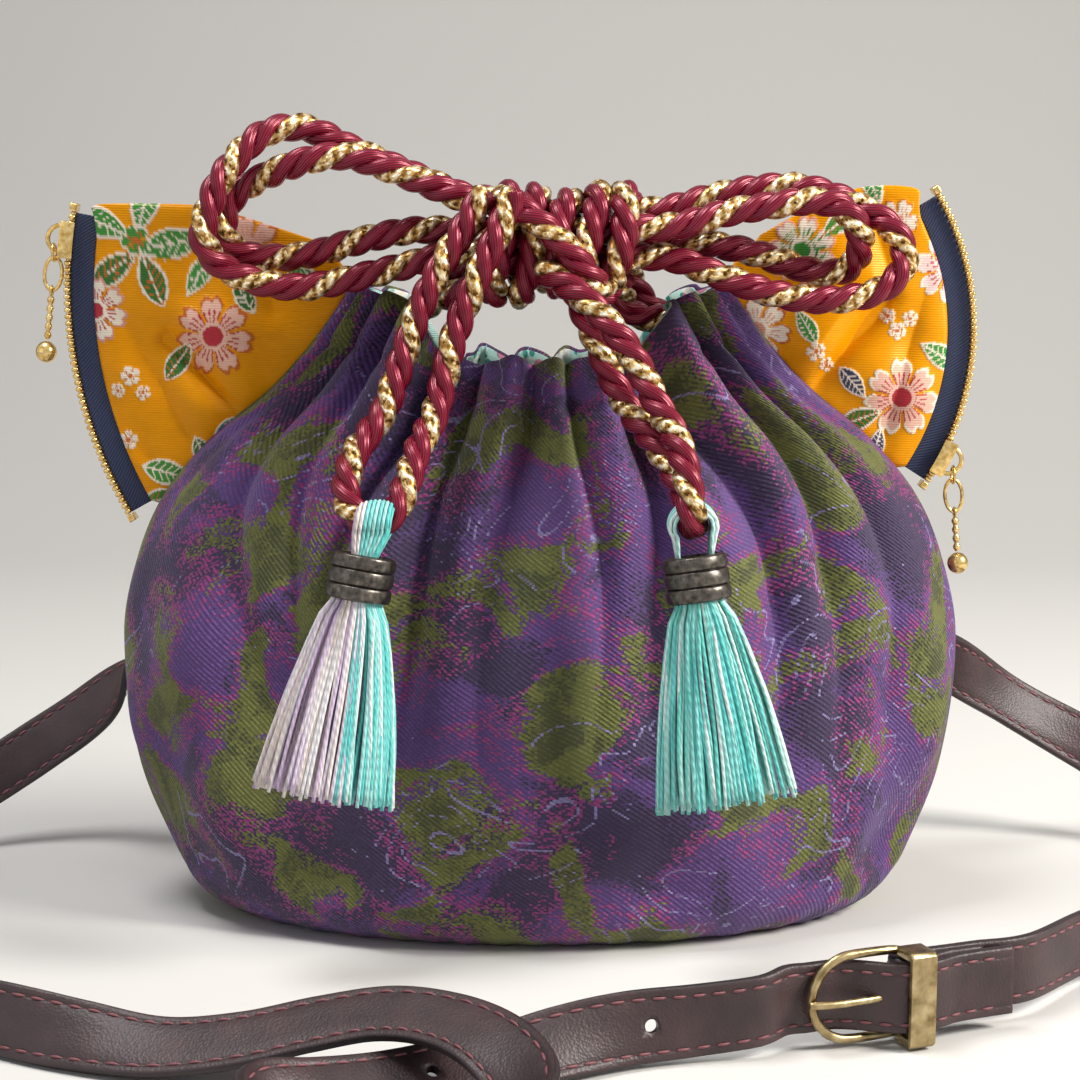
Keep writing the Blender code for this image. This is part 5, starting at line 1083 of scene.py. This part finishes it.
# %% Zips
def make_zip_tape_cloth():
    material, tree, shader = start_material("navy_twill_tape", "#1D2C52", 0.68, Sheen_Weight=0.2)
    place = add(tree, "ShaderNodeUVMap", uv_map="places").outputs["UV"]
    rib = striped(tree, place, 900.0, 1100.0)
    add(tree, "ShaderNodeValToRGB", {"Fac": rib}, to=shader.inputs["Base Color"],
        stops=[(0.0, "#0D1530"), (0.7, "#1B2A52"), (1.0, "#263862")])
    add(tree, "ShaderNodeBump", {"Height": rib, "Distance": 0.18 * MM}, to=shader.inputs["Normal"])
    return material


def make_gilt():
    material, tree, shader = start_material("polished_gilt_brass", "#DDBB73", 0.24, 1.0)
    place = add(tree, "ShaderNodeTexCoord").outputs["Object"]
    wear = add(tree, "ShaderNodeTexNoise", {"Vector": place, "Scale": 900.0, "Detail": 3.0}).outputs["Fac"]
    add(tree, "ShaderNodeValToRGB", {"Fac": wear}, to=shader.inputs["Base Color"],
        stops=[(0.3, "#C49A4E"), (0.55, "#E2C381"), (0.8, "#F2DDA6")])
    return material


zip_cloth, gilt = make_zip_tape_cloth(), make_gilt()
TOOTH_PITCH = 1.65 * MM
TEETH_SIDES = 8
TAPE_PROFILE = np.array([(0.0, 0.30), (0.05, 0.62), (0.11, 0.68), (0.18, 0.52), (0.26, 0.33), (0.6, 0.32),
                         (0.92, 0.33), (1.0, 0.26)])


def make_zip(side_name, zip_set):
    arc = math.radians(abs(zip_set["top"] - zip_set["bottom"])) * zip_set["radius"]
    degrees = np.linspace(zip_set["bottom"], zip_set["top"], 200)
    share, thick = TAPE_PROFILE[:, 0], TAPE_PROFILE[:, 1] * MM
    for row, way in (("front", -1.0), ("back", 1.0)):
        inward = TEETH_HEIGHT - 0.2 * MM + share * (TAPE_BAND + 0.4 * MM)
        near_side = 0.15 * MM + 0.15 * MM * share
        far_side = near_side + thick
        inward_all = np.concatenate([inward, inward[::-1]])
        across_all = way * np.concatenate([far_side, near_side[::-1]])
        points = zip_point(zip_set, degrees[:, None], inward_all[None], across_all[None])
        around = np.concatenate([inward_all, inward_all[:1]])
        pile = Pile()
        pile.net(points, around,
                 np.append(degrees, degrees[-1])[:, None] * math.radians(1.0) * zip_set["radius"])
        pile.make("zip_cloth_%s_%s" % (row, side_name), [zip_cloth],
                  replaces=["zip_tape_%s_%s" % (row, side_name)])
        teeth = Pile()
        count = int(arc / TOOTH_PITCH)
        angle = 2.0 * np.pi * (np.arange(TEETH_SIDES) + 0.5) / TEETH_SIDES
        round_x = np.sign(np.cos(angle)) * np.abs(np.cos(angle)) ** 0.6
        round_y = np.sign(np.sin(angle)) * np.abs(np.sin(angle)) ** 0.6
        grow = np.array([0.55, 0.9, 1.0, 1.0, 0.88, 0.5])
        across = way * np.array([0.15, 0.30, 0.60, 1.55, 1.95, 2.15]) * MM
        for k in range(count):
            middle = (k + (0.3 if way < 0 else 0.8)) / count
            wide = math.degrees(0.56 * MM / zip_set["radius"])
            at = zip_set["bottom"] + (zip_set["top"] - zip_set["bottom"]) * min(middle, 0.995)
            spot = zip_point(zip_set, at + wide * grow[:, None] * round_x[None],
                             0.5 * TEETH_HEIGHT + 0.5 * TEETH_HEIGHT * grow[:, None] * round_y[None],
                             across[:, None])
            teeth.net(spot, 0.0, 0.0)
        teeth.make("zip_coil_%s_%s" % (row, side_name), [gilt],
                   replaces=["zip_teeth_%s_%s" % (row, side_name)])


for side, zip_set in ZIPS.items():
    make_zip(side, zip_set)

# %% [markdown]
# ## Small metal parts
#
# Sliders, links, rings, chains, balls and stops stay the CAD's own solids. Their corners are
# rounded by a bevel, and the wires and balls by subdivision, because a real edge is never
# sharp and the thin line of light on it is what shows that. The buckle, rings and rivets
# are antique brass: a warm brown metal, dull in its hollows.

# %% Metal parts
def make_antique_brass():
    material, tree, shader = start_material("antique_brass", "#A8946B", 0.33, 1.0)
    place = add(tree, "ShaderNodeTexCoord").outputs["Object"]
    cloud = add(tree, "ShaderNodeTexNoise", {"Vector": place, "Scale": 320.0, "Detail": 5.0}).outputs["Fac"]
    add(tree, "ShaderNodeValToRGB", {"Fac": cloud}, to=shader.inputs["Base Color"],
        stops=[(0.3, "#7C6A48"), (0.55, "#AD9A72"), (0.8, "#C9BA95")])
    add(tree, "ShaderNodeMath", {0: cloud, 1: 0.3, 2: 0.18}, operation="MULTIPLY_ADD",
        to=shader.inputs["Roughness"])
    return material


antique_brass = make_antique_brass()
BEVELLED = {"zip_slider_left": 0.22, "zip_slider_right": 0.22, "buckle_keeper": 0.4,
            "zip_stop_top_left": 0.3, "zip_stop_bottom_left": 0.3,
            "zip_stop_top_right": 0.3, "zip_stop_bottom_right": 0.3}
for name, node in frame["nodes"].items():
    is_zip = name.startswith("zip_") and not name.startswith(("zip_tape", "zip_teeth"))
    if not is_zip and not name.startswith(("buckle_", "strap_ring", "strap_rivet")):
        continue
    node.data.materials.clear()
    node.data.materials.append(gilt if is_zip else antique_brass)
    node.data.shade_smooth()
    weld = node.modifiers.new("weld", "WELD")
    weld.merge_threshold = 0.00001
    if name in BEVELLED:
        bevel = node.modifiers.new("bevel", "BEVEL")
        bevel.width = BEVELLED[name] * MM
        bevel.segments = 3
        bevel.limit_method = "ANGLE"
        bevel.angle_limit = math.radians(40.0)
        bevel.harden_normals = True
    else:
        round_off = node.modifiers.new("rounding", "SUBSURF")
        round_off.levels = 2
        round_off.render_levels = 2
print("rounded:", len(BEVELLED), "by bevel")

# %% [markdown]
# ## Leather strap
#
# The strap is soft dark brown leather with a fine pebbled grain. Both edges have a pressed
# groove with a line of stitches in it. The routes are the CAD's: from a ring behind the bag,
# over the table and through the buckle. The width leans as the leather twists.

# %% Strap routes
SEAM_GAP = 0.3 * MM
STRAP_WIDTH = 15.0 * MM
STRAP_THICKNESS = 2.2 * MM
BUCKLE_CENTRE = (0.0680, -0.1045, 0.0110)
BUCKLE_TURN_DEG = 21.0
TAB_HEIGHT = MOUTH_HEIGHT - 53.0 * MM
TABS = {"left": {"at": (-0.0800, TAB_HEIGHT), "pull": (-0.62, 0.12, -0.78)},
        "right": {"at": (0.0800, TAB_HEIGHT), "pull": (0.62, 0.12, -0.78)}}
TAB_STANDOFF = 5.2 * MM
TAB_THICKNESS = 1.4 * MM
TAB_LENGTH = 20.0 * MM
TAB_SEAT = -1.2 * MM
RING_HALF_HEIGHT = 5.8 * MM
RING_WIRE = 1.2 * MM
STRAP_FOLD_LENGTH = 26.0 * MM
FOLD_RADIUS = RING_WIRE + 1.3 * MM + 0.5 * STRAP_THICKNESS
TAB_FOLD_RADIUS = RING_WIRE + 0.4 * MM + 0.5 * TAB_THICKNESS


def pouch_back(x, z):
    """Depth of the pouch's back wall at a place across and up."""
    share = z / MOUTH_HEIGHT
    for _ in range(8):
        turn = math.acos(max(-1.0, min(1.0, x / eased(POUCH_SECTIONS, 1, share))))
        share = z / mouth_height(turn)
    return float(eased(POUCH_SECTIONS, 2, share)) * math.sin(turn)


def buckle_frame():
    return Matrix.Translation(BUCKLE_CENTRE) @ Matrix.Rotation(math.radians(BUCKLE_TURN_DEG), 4, "Z") \
        @ Matrix(((1, 0, 0, 0), (0, -1, 0, 0), (0, 0, 1, 0), (0, 0, 0, 1)))


def buckle_point(x, y, z=0.0):
    """A point in millimetres of the buckle's own frame, as a place in the model."""
    return buckle_frame() @ Vector((x * MM, y * MM, z * MM))


def tab_frame(tab):
    """Ring's frame: x along its bars, y out from the bag, z up toward the tab."""
    x, z = tab["at"]
    step = 0.002
    place_on = Vector((x, pouch_back(x, z), z))
    along_x = Vector((x + step, pouch_back(x + step, z), z)) - place_on
    along_z = Vector((x, pouch_back(x, z + step), z + step)) - place_on
    normal = along_z.cross(along_x).normalized()
    up = -Vector(tab["pull"])
    up = (up - normal * up.dot(normal)).normalized()
    along = normal.cross(up).normalized()
    turn_matrix = Matrix((along, normal, up)).transposed().to_4x4()
    return Matrix.Translation(place_on + normal * TAB_STANDOFF) @ turn_matrix


def leaning(x, y, z, degrees, toward):
    """A route entry whose width leans from upright toward a compass direction."""
    a, b = math.radians(degrees), math.radians(toward)
    return ((x, y, z), (math.sin(a) * math.cos(b), math.sin(a) * math.sin(b), math.cos(a)))


def fold_route(frame):
    """The strap's end round the ring's lower bar, in the ring's frame."""
    wide = frame.to_3x3() @ Vector((1.0, 0.0, 0.0))
    bar = -RING_HALF_HEIGHT
    pair = 0.5 * STRAP_THICKNESS + 0.5 * SEAM_GAP
    steps = [(-pair, bar - STRAP_FOLD_LENGTH), (-pair, bar - 0.0100), (-FOLD_RADIUS, bar - 0.0012)]
    for k in range(1, 8):
        a = math.pi - math.pi * k / 8.0
        steps.append((FOLD_RADIUS * math.cos(a), bar + FOLD_RADIUS * math.sin(a)))
    steps += [(FOLD_RADIUS, bar - 0.0012), (pair, bar - 0.0100), (pair, bar - STRAP_FOLD_LENGTH)]
    return [(frame @ Vector((0.0, y, z)), wide) for y, z in steps]


def strap_routes():
    """Both straps, from the ring behind the bag to the buckle in front."""
    hold = 0.5 * STRAP_WIDTH + 0.0001
    left_out = fold_route(tab_frame(TABS["left"]))
    right_out = fold_route(tab_frame(TABS["right"]))
    long_run = [leaning(*row) for row in (
        (-0.1220, 0.0480, 0.0400, 30, 110), (-0.1400, 0.0480, 0.0270, 18, 115),
        (-0.1600, 0.0380, 0.0150, 8, 150), (-0.1740, 0.0160, 0.0090, 4, 170),
        (-0.1760, -0.0150, hold + 0.0005, 3, 180), (-0.1680, -0.0500, hold, 2, 200),
        (-0.1500, -0.0800, hold, 2, 220), (-0.1300, -0.0990, hold, 2, 240),
        (-0.1130, -0.1085, 0.0076, 20, 100), (-0.0950, -0.1150, 0.0062, 45, 95),
        (-0.0780, -0.1195, 0.0054, 62, 92), (-0.0610, -0.1220, 0.0078, 66, 90),
        (-0.0455, -0.1230, 0.0116, 68, 90), (-0.0315, -0.1255, 0.0148, 70, 85),
        (-0.0195, -0.1320, 0.0160, 70, 65), (-0.0100, -0.1415, 0.0156, 66, 45),
        (-0.0035, -0.1525, 0.0130, 52, 28), (-0.0020, -0.1640, 0.0098, 30, 5),
        (-0.0080, -0.1745, 0.0080, 8, -40), (-0.0200, -0.1800, hold, 2, -75),
        (-0.0345, -0.1800, hold, 2, -105), (-0.0475, -0.1740, hold, 2, -135),
        (-0.0540, -0.1620, 0.0079, 6, 180), (-0.0515, -0.1510, 0.0075, 30, 140),
        (-0.0425, -0.1440, 0.0061, 54, 122), (-0.0310, -0.1385, 0.0053, 60, 116),
        (-0.0190, -0.1325, 0.0053, 60, 116), (-0.0070, -0.1265, 0.0058, 54, 115),
        (0.0050, -0.1210, 0.0071, 38, 112), (0.0180, -0.1165, 0.0082, 18, 105),
        (0.0320, -0.1140, 0.0090, 4, 100), (0.0450, -0.1120, 0.0102, 0, 0))]
    upright = (0.0, 0.0, 1.0)
    through = [(buckle_point(x, y), upright) for x, y in (
        (-17.0, -3.0), (-12.5, -2.8), (-8.5, -2.8), (-5.5, -2.5), (-2.0, -0.8), (1.5, 1.8), (5.0, 4.3),
        (8.0, 5.3), (11.0, 5.3), (15.0, 4.6), (20.0, 3.1), (26.0, 2.7), (34.0, 2.7))]
    short_run = [leaning(*row) for row in (
        (0.1580, 0.0500, 0.0240, 20, 60), (0.1740, 0.0380, 0.0130, 8, 40),
        (0.1830, 0.0140, 0.0085, 3, 10), (0.1800, -0.0150, hold, 1, 0), (0.1640, -0.0400, hold, 0, 0),
        (0.1420, -0.0560, 0.0085, 0, 0), (0.1250, -0.0660, 0.0100, 0, 0))]
    fold = [(buckle_point(x, y), upright) for x, y in (
        (42.0, -2.5), (28.0, -2.5), (19.0, -2.5), (12.0, -2.7), (9.5, -2.6), (7.66, -1.84), (6.9, 0.0),
        (7.66, 1.84), (9.5, 2.6), (12.0, 2.4), (19.0, 0.1), (24.0, 0.0), (28.0, 0.0))]
    bridge_right = [leaning(0.1300, 0.0520, 0.0400, 34, 70)]
    return left_out + long_run + through, right_out + bridge_right + short_run + fold

# %% [markdown]
# The leather's grain is a fine cell pattern about half a millimetre wide. The cut edges are painted
# darker, and the stitches are waxed thread in a dusty rose, each one a small capsule that dips into
# the leather at its ends.

# %% Leather and stitches
def make_leather():
    material, tree, shader = start_material("pebbled_dark_leather", "#402E30", 0.46)
    place = add(tree, "ShaderNodeUVMap", uv_map="places").outputs["UV"]
    tint = add(tree, "ShaderNodeAttribute", attribute_name="tint").outputs["Color"]
    grain = add(tree, "ShaderNodeTexVoronoi", {"Vector": place, "Scale": 1700.0}).outputs["Distance"]
    cloud = add(tree, "ShaderNodeTexNoise", {"Vector": place, "Scale": 90.0, "Detail": 4.0}).outputs["Fac"]
    tone = add(tree, "ShaderNodeValToRGB", {"Fac": cloud},
               stops=[(0.3, "#2C1E20"), (0.6, "#3E2B2D"), (0.8, "#4A3537")]).outputs["Color"]
    colour = add(tree, "ShaderNodeVectorMath", {0: tone, 1: tint}, operation="MULTIPLY").outputs[0]
    tree.links.new(colour, shader.inputs["Base Color"])
    height = add(tree, "ShaderNodeMath", {0: cloud, 1: 0.6, 2: grain},
                 operation="MULTIPLY_ADD").outputs[0]
    add(tree, "ShaderNodeBump", {"Height": height, "Distance": 0.10 * MM, "Strength": 0.7},
        to=shader.inputs["Normal"])
    return material


leather = make_leather()
stitch_thread, _, _ = start_material("waxed_rose_thread", "#7C4A50", 0.55)
# From the edge to the middle: distance across and half thickness, in mm
HALF_PROFILE = [(7.50, 0.35), (7.42, 0.72), (7.15, 0.98), (6.70, 1.07), (6.05, 1.07), (5.78, 1.00),
                (5.45, 0.82), (5.12, 1.00), (4.85, 1.08), (2.50, 1.10), (0.00, 1.10)]
TOP_SIDE = np.array(HALF_PROFILE + [(-a, b) for a, b in HALF_PROFILE[-2::-1]]) * MM
STRAP_PROFILE = np.concatenate([TOP_SIDE, TOP_SIDE[::-1] * (1.0, -1.0)])
EDGE_PAINT = np.where(np.abs(STRAP_PROFILE[:, 0]) > 7.3 * MM, 0.45, 1.0)[:, None] * np.ones(3)
STITCH_PITCH, STITCH_LENGTH, STITCH_ROW = 4.2 * MM, 3.1 * MM, 5.45 * MM
HOLE_RADIUS = 1.4 * MM
HOLES_BACK_FROM_END = {"strap_long": (84.0, 132.0), "strap_short": ()}


def ribbon_frames(route, spacing):
    """A flat piece's middle line with the directions of its width and thickness, and its run."""
    both = smooth_line([(*point, *Vector(wide).normalized()) for point, wide in route], spacing)
    line = both[:, :3]
    tangent = unit(np.gradient(line, axis=0))
    wide = unit(both[:, 3:] - tangent * np.sum(both[:, 3:] * tangent, 1, keepdims=True))
    return line, wide, np.cross(tangent, wide), run_of(line)


def ribbon(pile, frames, profile, tint=(1.0, 1.0, 1.0)):
    line, wide, thick, run = frames
    points = (line[:, None] + wide[:, None] * profile[:, 0][None, :, None]
              + thick[:, None] * profile[:, 1][None, :, None])
    around = run_of(np.concatenate([profile, profile[:1]]))
    pile.net(points, around, np.append(run, run[-1])[:, None], tint)


def make_stitches(name, frames):
    line, wide, thick, run = frames
    pile = Pile()
    for k in range(int(run[-1] / STITCH_PITCH) - 1):
        at = (k + 0.8) * STITCH_PITCH + np.linspace(-0.5, 0.5, 5) * STITCH_LENGTH
        here, across, out = [np.stack([np.interp(at, run, v[:, c]) for c in range(3)], 1)
                             for v in (line, wide, thick)]
        for side in (-1.0, 1.0):
            for face in (-1.0, 1.0):
                lift = face * np.array([0.72, 1.0, 1.06, 1.0, 0.72])[:, None] * MM
                tube(pile, here + across * side * STITCH_ROW + out * lift,
                     np.array([0.16, 0.32, 0.36, 0.32, 0.16]) * MM, 5)
    return pile.make(name, [stitch_thread])


def punch(piece, places):
    """Cut round holes through a strap where the CAD has them."""
    builder = bmesh.new()
    for point, along, across, through in places:
        turn = Matrix((along, across, through)).transposed().to_4x4()
        bmesh.ops.create_cone(builder, cap_ends=True, segments=24, radius1=HOLE_RADIUS, radius2=HOLE_RADIUS,
                              depth=8.0 * MM, matrix=Matrix.Translation(point) @ turn)
    mesh = bpy.data.meshes.new("punch")
    builder.to_mesh(mesh)
    builder.free()
    tool = bpy.data.objects.new("punch", mesh)
    bpy.context.scene.collection.objects.link(tool)
    cut = piece.modifiers.new("holes", "BOOLEAN")
    cut.operation, cut.object, cut.solver = "DIFFERENCE", tool, "EXACT"
    bpy.context.view_layer.update()
    result = bpy.data.meshes.new_from_object(piece.evaluated_get(bpy.context.evaluated_depsgraph_get()))
    piece.modifiers.clear()
    piece.data = result
    bpy.data.objects.remove(tool)


# %% [markdown]
# Both straps are free to move. Their lengths are printed.

# %% Straps
STRAP_STEP = 1.2 * MM
long_route, short_route = strap_routes()
for name, route in (("strap_long", long_route), ("strap_short", short_route)):
    frames = ribbon_frames(route, STRAP_STEP)
    line, wide, thick, run = frames
    pile = Pile()
    ribbon(pile, frames, STRAP_PROFILE, EDGE_PAINT)
    strap = pile.make(name + "_leather", [leather], replaces=[name])
    spots = []
    for back in HOLES_BACK_FROM_END[name]:
        i = int(np.searchsorted(run, run[-1] - back * MM))
        spots.append((line[i], np.cross(wide[i], thick[i]), wide[i], thick[i]))
    if spots:
        punch(strap, spots)
    stitches = make_stitches(name + "_stitches", frames)
    print(name, "is", round(run[-1] / MM), "mm long")

# %% [markdown]
# A cloth tab holds each ring behind the bag. Its two layers are sewn into the pouch's back wall.

# %% Strap tabs
def tab_route(tab):
    place_frame = tab_frame(tab)
    wide = place_frame.to_3x3() @ Vector((1.0, 0.0, 0.0))
    bar = RING_HALF_HEIGHT

    def on_wall(height, layer):
        y = 0.0
        for _ in range(4):
            spot = place_frame @ Vector((0.0, y, height))
            y += pouch_back(spot.x, spot.z) - spot.y
        return y + TAB_SEAT + (layer + 0.5) * TAB_THICKNESS + layer * SEAM_GAP

    steps = [(on_wall(bar + h * TAB_LENGTH, 1), bar + h * TAB_LENGTH) for h in (1.0, 0.75, 0.5)]
    steps.append((TAB_FOLD_RADIUS, bar + 1.0 * MM))
    turns = [math.pi * k / 8.0 for k in range(1, 8)]
    steps += [(TAB_FOLD_RADIUS * math.cos(a), bar - TAB_FOLD_RADIUS * math.sin(a)) for a in turns]
    steps.append((-TAB_FOLD_RADIUS, bar + 1.0 * MM))
    steps += [(on_wall(bar + h * TAB_LENGTH, 0), bar + h * TAB_LENGTH) for h in (0.5, 0.75, 1.0)]
    return [(place_frame @ Vector((0.0, y, z)), wide) for y, z in steps]


TAB_SIDE = np.array([(7.5, 0.2), (7.4, 0.5), (7.0, 0.68), (0.0, 0.7),
                     (-7.0, 0.68), (-7.4, 0.5), (-7.5, 0.2)]) * MM
TAB_PROFILE = np.concatenate([TAB_SIDE, TAB_SIDE[::-1] * (1.0, -1.0)])
for side, tab in TABS.items():
    pile = Pile()
    ribbon(pile, ribbon_frames(tab_route(tab), 0.8 * MM), TAB_PROFILE)
    pile.make("tab_cloth_" + side, [jacquard], replaces=["strap_tab_" + side])

# %% [markdown]
# ## Floor and light
#
# The floor is one pale sheet that curves up behind the bag, as in a photographer's sweep. The
# light is soft and comes mainly from the upper right, as in the photograph. The world lights the
# scene in a plain grey, while camera, mirror and glass rays see a paler one.

# %% Floor and light
def make_sweep():
    material, _, _ = start_material("pale_paper_sweep", "#D9D7D3", 0.9)
    bend = np.linspace(0.0, 0.5 * np.pi, 24)
    profile = [(-1.4, 0.0), (0.55, 0.0)]
    profile += [(0.55 + 0.6 * math.sin(a), 0.6 - 0.6 * math.cos(a)) for a in bend[1:]]
    profile.append((1.15, 2.2))
    points = [(x, y, z) for y, z in profile for x in (-2.2, 2.2)]
    faces = [(2 * i, 2 * i + 1, 2 * i + 3, 2 * i + 2) for i in range(len(profile) - 1)]
    mesh = bpy.data.meshes.new("sweep")
    mesh.from_pydata(points, [], faces)
    mesh.materials.append(material)
    mesh.shade_smooth()
    sweep = bpy.data.objects.new("sweep", mesh)
    bpy.context.scene.collection.objects.link(sweep)


def add_lamp(name, place, aim, size, watts, colour="#FFFFFF"):
    lamp = bpy.data.lights.new(name, "AREA")
    lamp.size = size
    lamp.energy = watts
    lamp.color = linear(colour)[:3]
    holder = bpy.data.objects.new(name, lamp)
    holder.location = place
    holder.rotation_euler = (Vector(aim) - Vector(place)).to_track_quat("-Z", "Y").to_euler()
    bpy.context.scene.collection.objects.link(holder)


make_sweep()
add_lamp("key", (0.80, -0.32, 0.62), (0.0, 0.0, 0.09), 0.32, 13.5, "#FFFBF4")
add_lamp("fill", (-0.9, -0.8, 0.45), (0.0, 0.0, 0.09), 0.9, 1.2, "#F2F6FF")
add_lamp("top", (-0.25, -0.10, 1.0), (-0.02, 0.0, 0.09), 0.35, 6.0)

world = bpy.data.worlds.new("studio")
world.use_nodes = True
bpy.context.scene.world = world
tree = world.node_tree
rays = add(tree, "ShaderNodeLightPath")
seen = add(tree, "ShaderNodeMath", {0: rays.outputs["Is Camera Ray"], 1: rays.outputs["Is Glossy Ray"]},
           operation="ADD")
seen = add(tree, "ShaderNodeMath", {0: seen.outputs[0], 1: rays.outputs["Is Transmission Ray"]},
           operation="ADD", use_clamp=True)
colour = add(tree, "ShaderNodeMix", {0: seen.outputs[0], 6: linear("#7A7A7E"), 7: linear("#E4E4E2")},
             data_type="RGBA").outputs[2]
tree.links.new(colour, tree.nodes["Background"].inputs["Color"])
bpy.context.scene.view_settings.view_transform = "Standard"
